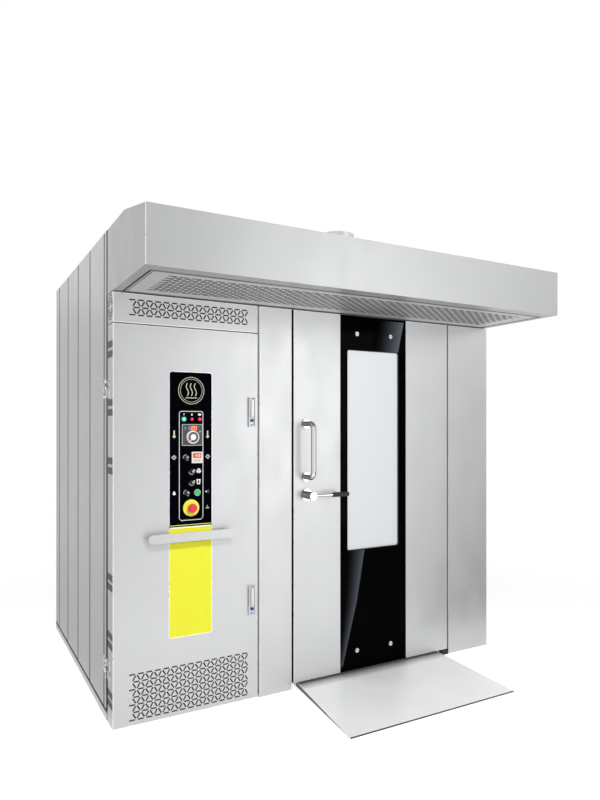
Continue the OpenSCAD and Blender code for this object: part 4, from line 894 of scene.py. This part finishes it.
start_lo, start_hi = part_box("start_button")
start_x, start_z, start_r = centre(start_lo, start_hi)
collar_y = panel_y - 5 * MM
instruments.append(turned("start_collar", start_x, start_z, (
    (start_r + 0.3 * MM, panel_y), (start_r + 0.3 * MM, collar_y + 0.6 * MM), (start_r + 0.9 * MM, collar_y),
    (start_r + 2 * MM, collar_y), (start_r + 3 * MM, collar_y + 1 * MM), (start_r + 3 * MM, panel_y)),
    print_white, DOOR))
for part in instruments:
    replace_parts(part, "control_instruments")

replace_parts(turned("start_button_cap", start_x, start_z, (
    (start_r * 0.35, start_hi.y), (start_r * 0.35, start_lo.y + 5 * MM), (start_r, start_lo.y + 5 * MM),
    (start_r, start_lo.y + 1 * MM), (start_r - 1 * MM, start_lo.y), (start_r * 0.5, start_lo.y + 0.5 * MM),
    (0, start_lo.y + 0.7 * MM)), button_green, "start_button"), "start_button")


def draw_dial_arc(shape, y0, y1):
    arc_band(shape, dial_x, dial_z, dial_r + 2.5 * MM, dial_r + 4 * MM, y0, y1, -50, 230, 40)


on_face("controller_scale", print_dark, draw_dial_arc)

dial_face = dial_lo.y
dial_floor = dial_face + 1.5 * MM
pointer_turn = 232


def dial_part(name, mat, profile, count=64):
    """A piece of the dial that is turned round its axis."""
    part = turned(name, dial_x, dial_z, profile, mat, "temperature_dial", count)
    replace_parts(part, "temperature_dial")


def dial_strokes(name, mat, turns, near, far, width, lift):
    """Radial strokes on the dial, from near to far as shares of its radius."""
    shape = bmesh.new()
    for turn in turns:
        t = math.radians(turn)
        ends = [(dial_x + dial_r * k * math.cos(t), dial_z + dial_r * k * math.sin(t)) for k in (near, far)]
        stroke(shape, ends, width, dial_face + lift, dial_face + 0.9 * MM)
    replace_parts(piece(name, shape, mat, "temperature_dial"), "temperature_dial")


dial_part("dial_ring", dial_white, (
    (0.13 * dial_r, dial_hi.y), (0.13 * dial_r, face_y - 0.4 * MM), (dial_r - 1 * MM, face_y - 0.4 * MM),
    (dial_r, face_y - 1.4 * MM), (dial_r - 1 * MM, dial_face + 2 * MM), (dial_r - 2.4 * MM, dial_face),
    (dial_r * 0.84, dial_face), (dial_r * 0.80, dial_floor), (0, dial_floor)))
dial_part("dial_scale", dial_dark, (
    (dial_r * 0.80, dial_floor), (dial_r * 0.79, dial_face + 0.8 * MM),
    (dial_r * 0.46, dial_face + 0.8 * MM), (dial_r * 0.46, dial_floor)))
dial_part("dial_centre", dial_white, (
    (dial_r * 0.45, dial_floor), (dial_r * 0.45, dial_face + 0.8 * MM),
    (dial_r * 0.4, dial_face + 0.1 * MM), (0, dial_face)), 48)
dial_strokes("dial_pointer", digit_red, (pointer_turn,), 0.48, 0.72, 4 * MM, 0.3 * MM)
tick_turns = [-60 + k * 12.5 for k in range(25)]
dial_strokes("dial_ticks", print_grey, [turn for turn in tick_turns if abs(turn - pointer_turn) >= 10],
             0.62, 0.70, 0.7 * MM, 0.5 * MM)


def selector(number, arcs, capsule):
    """A turned black knob with a grip across it, marks on the grip and a pale scale arc on the panel."""
    node = f"selector_{number}"
    lo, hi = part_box(node)
    x, z, _ = centre(lo, hi)
    base_y = panel_y - 0.3 * MM
    knob_y = base_y - 8 * MM
    r = 12 * MM
    parts = [turned(node + "_knob", x, z, (
        (r * 0.3, hi.y), (r * 0.3, base_y), (r, base_y), (r, knob_y + 2.4 * MM),
        (r - 0.5 * MM, knob_y + 1 * MM), (r - 1.6 * MM, knob_y), (r * 0.4, knob_y), (0, knob_y)),
        knob_black, node)]
    turn = math.radians(45)
    along = (math.cos(turn), math.sin(turn))
    across = (-along[1], along[0])
    mark_y = lo.y + 0.9 * MM

    def grip_outline(length, width, out=0.0):
        points = []
        for start, side in ((-90, 1), (90, -1)):
            for i in range(7):
                t = math.radians(start + i * 30)
                a = out + side * (length - width) + width * math.cos(t)
                b = width * math.sin(t)
                points.append((x + a * along[0] + b * across[0], z + a * along[1] + b * across[1]))
        return points

    shape = bmesh.new()
    prism(shape, grip_outline(11 * MM, 3 * MM), lo.y + 0.5 * MM, knob_y + 0.5 * MM)
    parts.append(piece(node + "_grip", shape, knob_black, node, 0.8 * MM))
    shape = bmesh.new()
    if capsule:
        band(shape, grip_outline(7.5 * MM, 4.2 * MM, 5 * MM), grip_outline(5.4 * MM, 2.1 * MM, 5 * MM),
             lo.y, mark_y)
    else:
        for d, gap in ((3.5, 2.2), (2.5, -3.4)):
            ends = [(k * along[0] - gap * across[0], k * along[1] - gap * across[1]) for k in (d - 4, d + 6)]
            stroke(shape, spots(x, z, ends), 2.2 * MM, lo.y, mark_y)
    parts.append(piece(node + "_mark", shape, print_white, node))
    for part in parts:
        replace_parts(part, node)

    def draw_arcs(shape, y0, y1):
        for start, end in arcs:
            arc_band(shape, x, z, 12.6 * MM, 14.8 * MM, y0, y1, start, end, 18)

    prints(node + "_scale", print_pale, draw_arcs)


selector(1, ((75, 190), (285, 335)), False)
selector(2, ((185, 300), (320, 350)), True)
selector(3, ((185, 300), (320, 350)), True)
selector(4, ((95, 200), (285, 335)), False)


def draw_fan_and_jug(shape, y0, y1):
    x, z = px(37), pz(1106)
    for k in range(3):
        arc_band(shape, x, z, 2.5 * MM, 11 * MM, y0, y1, 90 + 120 * k - 48, 90 + 120 * k + 48, 12)
    prism(shape, arc_points(x, z, 1.6 * MM, count=10), y0, y1)
    x, z = px(36), pz(1056)
    outer = spots(x, z, ((-10, 12), (-7, -11), (7, -11), (10, 12)))
    inner = spots(x, z, ((-4.5, 6), (-3, -6), (3, -6), (4.5, 6)))
    band(shape, outer, inner, y0, y1)


prints("fan_and_jug_signs", print_white, draw_fan_and_jug)

stop_lo, stop_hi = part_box("stop_button")
disc_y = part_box("stop_disc")[0].y
stop_x, stop_z, stop_r = centre(stop_lo, stop_hi)
mushroom = turned("stop_mushroom", stop_x, stop_z, (
    (4 * MM, stop_hi.y), (4 * MM, stop_lo.y + 19.5 * MM), (stop_r * 0.62, stop_lo.y + 19.5 * MM),
    (stop_r * 0.66, stop_lo.y + 12 * MM), (stop_r * 0.94, stop_lo.y + 11.5 * MM),
    (stop_r, stop_lo.y + 10 * MM), (stop_r, stop_lo.y + 4 * MM),
    (stop_r * 0.95, stop_lo.y + 2 * MM), (stop_r * 0.8, stop_lo.y + 0.7 * MM),
    (stop_r * 0.4, stop_lo.y + 0.1 * MM), (0, stop_lo.y)), button_red, "stop_button", 48)
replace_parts(mushroom, "stop_button")


def draw_stop_arrows(shape, y0, y1):
    r = 32 * MM
    for start in (20, 140, 260):
        arc_band(shape, stop_x, stop_z, r - 1.3 * MM, r + 1.3 * MM, y0, y1, start, start + 80, 16)
        head = ((r - 4 * MM, start + 80), (r + 4 * MM, start + 80), (r, start + 96))
        prism(shape, [(stop_x + far * math.cos(math.radians(t)), stop_z + far * math.sin(math.radians(t)))
                      for far, t in head], y0, y1)


prints("stop_arrows", disc_mark, draw_stop_arrows, 0.3 * MM, disc_y)


# Latches, hinges and vents


def latch(side):
    """The button with its dark centre, the V mark, and the painted shade of the slot round the lever, on the
    lever's edge and on the plate, of one latch.
    """
    node = side + "_latch_button"
    lo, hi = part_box(node)
    x, z, r = centre(lo, hi)
    sunk_y = lo.y + 1.2 * MM
    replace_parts(turned(node + "_cap", x, z, (
        (4 * MM, hi.y), (4 * MM, lo.y + 3.4 * MM), (r, lo.y + 3.4 * MM), (r, lo.y + 0.8 * MM),
        (r - 1 * MM, lo.y), (r * 0.42, lo.y), (r * 0.38, sunk_y), (0, sunk_y)),
        button_blue, node, 36), node)
    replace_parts(turned(node + "_centre", x, z, (
        (r * 0.36, sunk_y), (r * 0.34, lo.y + 0.7 * MM), (0, lo.y + 0.6 * MM)),
        grip_black, node, 24), node)
    shape = bmesh.new()
    plate_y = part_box("latch_plates")[1].y - 4 * MM
    stroke(shape, spots(x, z, ((-6, -16), (0, -25), (6, -16))), 4 * MM, plate_y - ink, plate_y)
    piece(side + "_latch_mark", shape, print_dark, DOOR)
    lever_lo, lever_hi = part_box(side + "_latch_lever")
    # A dark line on the lever's top and left edge: painted shade of the slot.
    shape = bmesh.new()
    left, top, low = lever_lo.x + 9.5 * MM, lever_hi.z - 4 * MM, lever_lo.z + 4 * MM
    line = spots(left, top, ((13, 1), (6, 0), (1, -6), (0, -14))) + spots(left, low, ((0, 0), (4, -2)))
    stroke(shape, line, 3.2 * MM, lever_lo.y - ink, lever_lo.y + ink)
    piece(side + "_lever_slot_shade", shape, print_dark, side + "_latch_lever")
    # A dark band round the lever on the plate: painted shade in the slot.
    shape = bmesh.new()
    outer, inner = (corner_rect(lever_lo.x - gap, lever_lo.z - gap, lever_hi.x + gap, lever_hi.z + gap, r, 4)
                    for gap, r in ((1.6 * MM, 2 * MM), (0.2 * MM, 1 * MM)))
    band(shape, outer, inner, plate_y - 2 * MM, plate_y)
    piece(side + "_latch_slot", shape, gap_black_shade, DOOR)


for side in ("upper", "lower"):
    latch(side)


def hinge_screws(node, body, y):
    """The round heads of the screws in one leaf of both hinges."""
    lo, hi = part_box(node)
    half_hinge, from_mid, leaf = 42 * MM, 26 * MM, 3 * MM
    face_x = door_lo.x - leaf
    shape = bmesh.new()
    for mid in (lo.z + half_hinge, hi.z - half_hinge):
        for z in (mid - from_mid, mid + from_mid):
            lathe_x(shape, y, z, ((5 * MM, face_x), (5 * MM, face_x - 0.6 * MM),
                                  (3.6 * MM, face_x - 1.8 * MM), (0, face_x - 2.2 * MM)), 20)
    piece(node + "_screws", shape, zinc, body)


from_edge = 20 * MM
hinge_screws("fixed_hinge_leaves", "housing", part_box("fixed_hinge_leaves")[1].y - from_edge)
hinge_screws("door_hinge_leaves", DOOR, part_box("door_hinge_leaves")[0].y + from_edge)


def vent_backing(name, x0, z0, x1, z1, y, body):
    """A finely folded near-black sheet close behind a field of vent slots: painted shade seen through them.
    """
    shape = bmesh.new()
    folds = max(8, round((x1 - x0) / (6 * MM)))
    rows = []
    for i in range(folds + 1):
        x = x0 + (x1 - x0) * i / folds
        depth = y + (0.5 * MM if i % 2 else 0)
        rows.append([shape.verts.new((x, depth, z)) for z in (z0, (z0 + z1) / 2, z1)])
    for a, b in zip(rows, rows[1:]):
        for k in range(2):
            shape.faces.new((a[k], b[k], b[k + 1], a[k + 1]))
    piece(name, shape, near_black, body)


mesh_gap = 0.8 * MM
vent_backing("lower_vent_shade", door_lo.x + 50 * MM, door_lo.z + 10 * MM, door_hi.x - 40 * MM,
             door_lo.z + 235 * MM, door_lo.y + mesh_gap, DOOR)
vent_backing("upper_vent_shade", vent_lo.x + 50 * MM, vent_lo.z + 18 * MM, vent_hi.x - 40 * MM,
             vent_hi.z - 18 * MM, vent_lo.y + mesh_gap, "housing")


def fan_grille_shade():
    """A near-black sheet behind the ring slots of the fan grille: painted shade seen through them."""
    shape = bmesh.new()
    x = vent_lo.x + mesh_gap
    half_y, half_z, count = 43.6 * MM, 57 * MM, 48
    turns = [2 * math.pi * i / count for i in range(count)]
    rings = []
    for r, dx in ((1.0, 0), (0.7, 0.4 * MM), (0.4, 0)):
        ring = [(x + dx, fan_mid.y + half_y * r * math.cos(t), fan_mid.z + half_z * r * math.sin(t))
                for t in turns]
        rings.append([shape.verts.new(corner) for corner in ring])
    for a, b in zip(rings, rings[1:]):
        for i in range(count):
            j = (i + 1) % count
            shape.faces.new((a[i], a[j], b[j], b[i]))
    piece("fan_grille_shade", shape, near_black, "housing")


fan_grille_shade()


def side_slot_bars():
    """A folded dark sheet in each slot of the cabinet door's side, with upright bars on it."""
    y0, y1 = door_lo.y + 4 * MM, door_hi.y - 3 * MM
    x = door_lo.x - 0.9 * MM
    first_z, pair_pitch, half_pair, half_slot = 120.5 * MM, 254.5 * MM, 21.5 * MM, 15 * MM
    folds = 12
    bars, back = bmesh.new(), bmesh.new()
    for i in (0, 1, 2, 4, 5, 6):
        for side in (-1, 1):
            mid = first_z + i * pair_pitch + side * half_pair
            z0, z1 = mid - half_slot, mid + half_slot
            rows = []
            for k in range(folds + 1):
                y = y0 + (y1 - y0) * k / folds
                rows.append([back.verts.new((x + (0.7 * MM if k % 2 else 0), y, z)) for z in (z0, z1)])
            for a, b in zip(rows, rows[1:]):
                back.faces.new((a[0], b[0], b[1], a[1]))
            for k in (2, 3, 7, 8):
                y = y0 + (y1 - y0) * (k + 0.5) / 11
                prism(bars, [(x - 0.3 * MM, z0), (x + 1 * MM, z0), (x + 1 * MM, z1), (x - 0.3 * MM, z1)],
                      y - 1.2 * MM, y + 1.2 * MM)
    piece("side_slot_bars", bars, slot_bar, DOOR)
    piece("side_slot_back", back, slot_shadow, DOOR)


side_slot_bars()

# Oven door

OVEN_DOOR = "oven_door_body"
glass_lo, glass_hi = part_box("door_glass")
pane_lo, pane_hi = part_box("window_panes")
pane_edge = 10 * MM
window_lo = Vector((pane_lo.x + pane_edge, glass_lo.y, pane_lo.z + pane_edge))
window_hi = Vector((pane_hi.x - pane_edge, glass_hi.y, pane_hi.z - pane_edge))

shape = bmesh.new()
lip = 3 * MM
outer = corner_rect(window_lo.x, window_lo.z, window_hi.x, window_hi.z, 14 * MM, 8)
inner = corner_rect(window_lo.x + lip, window_lo.z + lip, window_hi.x - lip, window_hi.z - lip, 11 * MM, 8)
band(shape, outer, inner, glass_lo.y + 2 * MM, pane_lo.y)
piece("window_gasket", shape, rubber, OVEN_DOOR)

screw_lo, screw_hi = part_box("glass_screws")
screw_r = 11 * MM
shape = bmesh.new()
for x in (screw_lo.x + screw_r, screw_hi.x - screw_r):
    for z in (screw_lo.z + screw_r, screw_hi.z - screw_r):
        lathe_y(shape, x, z, (
            (screw_r + 0.4 * MM, glass_lo.y), (screw_r + 0.4 * MM, glass_lo.y - 1.6 * MM),
            (screw_r + 2.4 * MM, glass_lo.y - 1.2 * MM), (screw_r + 3.4 * MM, glass_lo.y)), 36)
piece("screw_washers", shape, rubber, OVEN_DOOR)
# Dark strips across the screw heads: painted shade in their slots.
shape = bmesh.new()
for x in (screw_lo.x + screw_r, screw_hi.x - screw_r):
    for z in (screw_lo.z + screw_r, screw_hi.z - screw_r):
        bar(shape, x, z, screw_r * 1.7, 3.4 * MM, screw_lo.y - 0.3 * MM, screw_lo.y + 0.3 * MM)
piece("screw_slots", shape, ramp_and_slot_shade, OVEN_DOOR)

grip_lo, grip_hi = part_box("lever_grip")
grip_r = (grip_hi.z - grip_lo.z) / 2
grip_y, grip_z = (grip_lo.y + grip_hi.y) / 2, (grip_lo.z + grip_hi.z) / 2
profile = [(0.0, grip_lo.x), (grip_r * 0.7, grip_lo.x), (grip_r * 0.92, grip_lo.x + 1.5 * MM)]
length = grip_hi.x - grip_lo.x
ribs, ribbed = 13, 0.86
step = length * ribbed / ribs
for k in range(ribs):
    x = grip_lo.x + length * 0.06 + step * k
    profile += [(grip_r * 0.9, x), (grip_r, x + step * 0.25), (grip_r, x + step * 0.6),
                (grip_r * 0.9, x + step * 0.85)]
profile += [(grip_r * 0.92, grip_hi.x - 4 * MM), (grip_r * 0.8, grip_hi.x - 1.5 * MM),
            (grip_r * 0.45, grip_hi.x - 0.3 * MM), (0.0, grip_hi.x)]
shape = bmesh.new()
lathe_x(shape, grip_y, grip_z, profile, 48)
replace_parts(piece("lever_grip_ribbed", shape, grip_black, "lever", angle=60), "lever_grip")

# Hood and base


def block(shape, lo, hi):
    prism(shape, [(lo[0], lo[2]), (hi[0], lo[2]), (hi[0], hi[2]), (lo[0], hi[2])], lo[1], hi[1])


def filter_gap_shade():
    """Near-black strips between the filter plate and the hood's lips, and a near-black plate just inside the
    filter's slots: painted shade of the gap and the slots.
    """
    shape = bmesh.new()
    z0, z1 = filter_lo.z - 0.8 * MM, filter_hi.z
    for x0, x1, y0, y1 in (
            (filter_lo.x - 5 * MM, filter_lo.x + 3 * MM, filter_lo.y - 3 * MM, filter_hi.y + 3 * MM),
            (filter_hi.x - 2 * MM, filter_hi.x + 4 * MM, filter_lo.y - 3 * MM, filter_hi.y + 3 * MM),
            (filter_lo.x, filter_hi.x, filter_lo.y - 3 * MM, filter_lo.y + 2 * MM),
            (filter_lo.x, filter_hi.x, filter_hi.y - 2 * MM, filter_hi.y + 3 * MM)):
        block(shape, (x0, y0, z0), (x1, y1, z1))
    piece("filter_gap_shade", shape, near_black, "housing")
    shape = bmesh.new()
    block(shape, (filter_lo.x + 4 * MM, filter_lo.y + 4 * MM, filter_lo.z + 0.6 * MM),
          (filter_hi.x - 4 * MM, filter_hi.y - 4 * MM, filter_lo.z + 1.2 * MM))
    piece("filter_slot_shade", shape, near_black, "housing")


filter_gap_shade()


def base_gap_shade():
    """Dark strips in the seams between the base rails and the side cladding and up the left pan seams:
    painted shade of the gaps.
    """
    proud, sunk = 0.4 * MM, 0.5 * MM
    shape = bmesh.new()
    y0, y1 = pan_starts[0], wall_hi.y - sunk
    z0, z1 = wall_lo.z - 11 * MM, wall_lo.z + 3 * MM
    block(shape, (wall_lo.x - proud, y0, z0), (wall_lo.x + 1 * MM, y1, z1))
    z2, z3 = wall_lo.z - 4.5 * MM, wall_lo.z + sunk
    block(shape, (wall_hi.x - 1.5 * MM, y0, z2), (wall_hi.x - sunk, y1 - 1.5 * MM, z3))
    block(shape, (wall_lo.x + 1.5 * MM, y1 - 1 * MM, z2), (wall_hi.x - sunk, y1, z3))
    for y in pan_starts:
        block(shape, (wall_lo.x - proud, y - 5 * MM, z1), (wall_lo.x + 1 * MM, y + 10 * MM, wall_hi.z))
    piece("base_gap_shade", shape, gap_black_shade, "housing")


base_gap_shade()


def seam_strips():
    """Painted shade in two gaps: a near-black strip on the oven door's left edge and a grey one in the seam
    beside the cabinet door.
    """
    lo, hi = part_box("door_side_panels")
    top = hi.z - 1 * MM
    shape = bmesh.new()
    block(shape, (lo.x - 0.5 * MM, lo.y + 1.6 * MM, lo.z + 2 * MM), (lo.x + 0.5 * MM, lo.y + 44 * MM, top))
    piece("door_edge_shade", shape, near_black, OVEN_DOOR)
    column_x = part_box("front_columns")[0].x
    shape = bmesh.new()
    block(shape, (door_hi.x + 1 * MM, lo.y + 4 * MM, 34 * MM), (column_x - 0.5 * MM, lo.y + 5 * MM, top))
    piece("cabinet_seam_shade", shape, grey_seam_shade, "housing")


seam_strips()


# Stage, light and camera


def rays(tree):
    """One where the ray is a camera, glossy or transmission ray, else nought."""
    path = tree.nodes.new("ShaderNodeLightPath")
    first = tree.nodes.new("ShaderNodeMath")
    second = tree.nodes.new("ShaderNodeMath")
    for node in (first, second):
        node.operation = "MAXIMUM"
    tree.links.new(path.outputs["Is Camera Ray"], first.inputs[0])
    tree.links.new(path.outputs["Is Glossy Ray"], first.inputs[1])
    tree.links.new(first.outputs["Value"], second.inputs[0])
    tree.links.new(path.outputs["Is Transmission Ray"], second.inputs[1])
    return second.outputs["Value"]


AMBIENT = 0.46
world = bpy.data.worlds.new("studio")
scene.world = world
world.use_nodes = True
tree = world.node_tree
background = tree.nodes["Background"]
background.inputs["Color"].default_value = (1, 1, 1, 1)
level = tree.nodes.new("ShaderNodeMapRange")
level.inputs["To Min"].default_value = AMBIENT
level.inputs["To Max"].default_value = 1.0
tree.links.new(rays(tree), level.inputs["Value"])
tree.links.new(level.outputs["Result"], background.inputs["Strength"])


def floor():
    """A pale floor that shows pure white away from the object and keeps its shadow near it."""
    shape = bmesh.new()
    bmesh.ops.create_grid(shape, x_segments=4, y_segments=4, size=30)
    mesh = bpy.data.meshes.new("floor")
    shape.to_mesh(mesh)
    shape.free()
    obj = bpy.data.objects.new("floor", mesh)
    scene.collection.objects.link(obj)
    mat = bpy.data.materials.new("floor_white")
    mat.use_nodes = True
    tree = mat.node_tree
    tree.nodes.clear()
    out = tree.nodes.new("ShaderNodeOutputMaterial")
    diffuse = tree.nodes.new("ShaderNodeBsdfDiffuse")
    diffuse.inputs["Color"].default_value = (0.82, 0.82, 0.82, 1)
    lift = tree.nodes.new("ShaderNodeEmission")
    white = tree.nodes.new("ShaderNodeEmission")
    add = tree.nodes.new("ShaderNodeAddShader")
    mix = tree.nodes.new("ShaderNodeMixShader")
    gain = tree.nodes.new("ShaderNodeMath")
    gain.operation = "MULTIPLY"
    gain.inputs[1].default_value = 0.45
    seen = rays(tree)
    tree.links.new(seen, gain.inputs[0])
    tree.links.new(gain.outputs["Value"], lift.inputs["Strength"])
    tree.links.new(diffuse.outputs["BSDF"], add.inputs[0])
    tree.links.new(lift.outputs["Emission"], add.inputs[1])
    far = tree.nodes.new("ShaderNodeMapRange")
    far.inputs["From Min"].default_value = 0.0
    far.inputs["From Max"].default_value = 1.0
    far.inputs["To Min"].default_value = AMBIENT
    far.inputs["To Max"].default_value = 1.0
    tree.links.new(seen, far.inputs["Value"])
    tree.links.new(far.outputs["Result"], white.inputs["Strength"])
    place = tree.nodes.new("ShaderNodeTexCoord")
    length = tree.nodes.new("ShaderNodeVectorMath")
    length.operation = "LENGTH"
    tree.links.new(place.outputs["Object"], length.inputs[0])
    fade = tree.nodes.new("ShaderNodeMapRange")
    fade.interpolation_type = "SMOOTHSTEP"
    fade.inputs["From Min"].default_value = 1.7
    fade.inputs["From Max"].default_value = 3.2
    tree.links.new(length.outputs["Value"], fade.inputs["Value"])
    tree.links.new(fade.outputs["Result"], mix.inputs["Fac"])
    tree.links.new(add.outputs["Shader"], mix.inputs[1])
    tree.links.new(white.outputs["Emission"], mix.inputs[2])
    tree.links.new(mix.outputs["Shader"], out.inputs["Surface"])
    mesh.materials.append(mat)
    obj.location = (0, 0, -0.0005)


floor()


def softbox(name, place, aim, side, power):
    """A square lamp that no reflection shows."""
    data = bpy.data.lights.new(name, "AREA")
    data.size = side
    data.energy = power
    obj = bpy.data.objects.new(name, data)
    obj.visible_glossy = False
    obj.location = place
    obj.rotation_euler = (Vector(aim) - Vector(place)).to_track_quat("-Z", "Y").to_euler()
    scene.collection.objects.link(obj)
    return obj


softbox("key", (1.1, -4.6, 2.0), (-0.3, -0.5, 0.8), 1.2, 8)
softbox("side_key", (-4.4, 0.2, 1.9), (-1.1, 0.3, 1.3), 1.5, 32)
softbox("front_key", (-0.2, -3.6, 1.7), (-0.2, -0.5, 1.1), 0.3, 23)
high_key = softbox("high_key", (-0.6, -4.2, 4.4), (-0.4, -0.5, 0.9), 0.4, 122)
shading = bpy.data.collections.new("high_key_shading")
for obj in (nodes["rail_bar"], mushroom):
    shading.objects.link(obj)
high_key.light_linking.blocker_collection = shading


def card(name, corners, level, faces=((0, 1, 2, 3),)):
    """A grey studio card that only glossy rays see, so that sheet metal has something to show."""
    mesh = bpy.data.meshes.new(name)
    mesh.from_pydata(corners, [], faces)
    obj = bpy.data.objects.new(name, mesh)
    scene.collection.objects.link(obj)
    mat = bpy.data.materials.new(name)
    mat.use_nodes = True
    mat.node_tree.nodes.clear()
    out = mat.node_tree.nodes.new("ShaderNodeOutputMaterial")
    glow = mat.node_tree.nodes.new("ShaderNodeEmission")
    glow.inputs["Strength"].default_value = level
    mat.node_tree.links.new(glow.outputs["Emission"], out.inputs["Surface"])
    mesh.materials.append(mat)
    for way in ("camera", "diffuse", "transmission", "volume_scatter", "shadow"):
        setattr(obj, "visible_" + way, False)
    return obj


card("rear_left_card", ((-1.2, 4.4, 0), (-4.6, 2.6, 0), (-4.6, 2.6, 2.6), (-1.2, 4.4, 2.6)), 0.68)
card("right_card", ((3.3, -4.6, 0), (5.6, -1.2, 0), (5.6, -1.2, 2.2), (3.3, -4.6, 2.2)), 0.3)
card("front_card", ((0.9, -4.6, 0), (3.2, -4.6, 0), (3.2, -4.6, 3.6), (0.9, -4.6, 3.6)), 2.65)
card("upper_right_card", ((3.3, -4.6, 2.3), (4.4, -4.2, 2.3), (4.4, -4.2, 3.6), (3.3, -4.6, 3.6)), 1.4)
card("left_card", ((-1.2, -4.6, 0.7), (0.7, -4.6, 0.7), (0.7, -4.6, 4.6), (-1.2, -4.6, 4.6)), 0.4)
card("floor_card", ((0.85, -0.95, 0.002), (2.9, -3.6, 0.002), (5.2, -3.8, 0.002), (5.2, -0.6, 0.002)), 0.03)
card("side_floor_card", ((-2.6, -0.45, 0.002), (-1.13, -0.45, 0.002), (-1.13, 4.0, 0.002),
                         (-2.6, 4.0, 0.002)), 0.6)
card("floor_light", ((-0.9, -1.2, 0.002), (0.7, -1.2, 0.002), (1.8, -2.9, 0.002), (-0.9, -2.9, 0.002)), 1.5)


EYE = (-1.7258, -3.2922, 1.3156)


def grown(value, middle):
    """A value moved away from the middle by the bay's growth."""
    return middle + 1.03 * (value - middle)


def glass_reflection():
    """A bright bay with a slanted side that only the door's black glass shows, fading to the left."""
    side = ((0.479, 1.890), (0.376, 1.452), (0.242, 0.806), (0.166, 0.394), (0.072, 0.043))
    reaches = (0.165, 0.14, 0.125, 0.075, 0.03)
    y, steps = -0.6051, 6
    corners, glow = [], []
    for (x, z), reach in zip(side, reaches):
        for k in range(steps):
            share = k / (steps - 1)
            corners.append((grown(x - reach * share, EYE[0]), y, grown(z, EYE[2])))
            glow.append((0.7 + 0.3 * z / side[0][1]) * (1 - share) ** 1.9)
    faces = [(steps * i + k, steps * i + k + 1, steps * i + k + 1 + steps, steps * i + k + steps)
             for i in range(len(side) - 1) for k in range(steps - 1)]
    obj = card("glass_card", corners, 1.0, faces)
    obj.data.attributes.new("glow", "FLOAT", "POINT").data.foreach_set("value", glow)
    tree = obj.data.materials[0].node_tree
    share = tree.nodes.new("ShaderNodeAttribute")
    share.attribute_name = "glow"
    gain = tree.nodes.new("ShaderNodeMapRange")
    gain.inputs["To Max"].default_value = 95.0
    tree.links.new(share.outputs["Fac"], gain.inputs["Value"])
    tree.links.new(gain.outputs["Result"], tree.nodes["Emission"].inputs["Strength"])
    tree.nodes["Emission"].inputs["Color"].default_value = (0.82, 0.95, 1.1, 1)
    add = tree.nodes.new("ShaderNodeAddShader")
    tree.links.new(tree.nodes["Emission"].outputs["Emission"], add.inputs[0])
    tree.links.new(tree.nodes.new("ShaderNodeBsdfTransparent").outputs["BSDF"], add.inputs[1])
    tree.links.new(add.outputs["Shader"], tree.nodes["Material Output"].inputs["Surface"])
    glass_only = bpy.data.collections.new("glass_only")
    glass_only.objects.link(nodes["door_glass"])
    obj.light_linking.receiver_collection = glass_only


glass_reflection()

camera_data = bpy.data.cameras.new("camera")
camera_data.lens = 28.51
camera_data.shift_y = 0.02975
camera = bpy.data.objects.new("camera", camera_data)
camera.location = EYE
camera.rotation_euler = (math.radians(90.1216), 0, math.radians(-29.1966))
scene.collection.objects.link(camera)
scene.camera = camera
scene.view_settings.view_transform = "Standard"
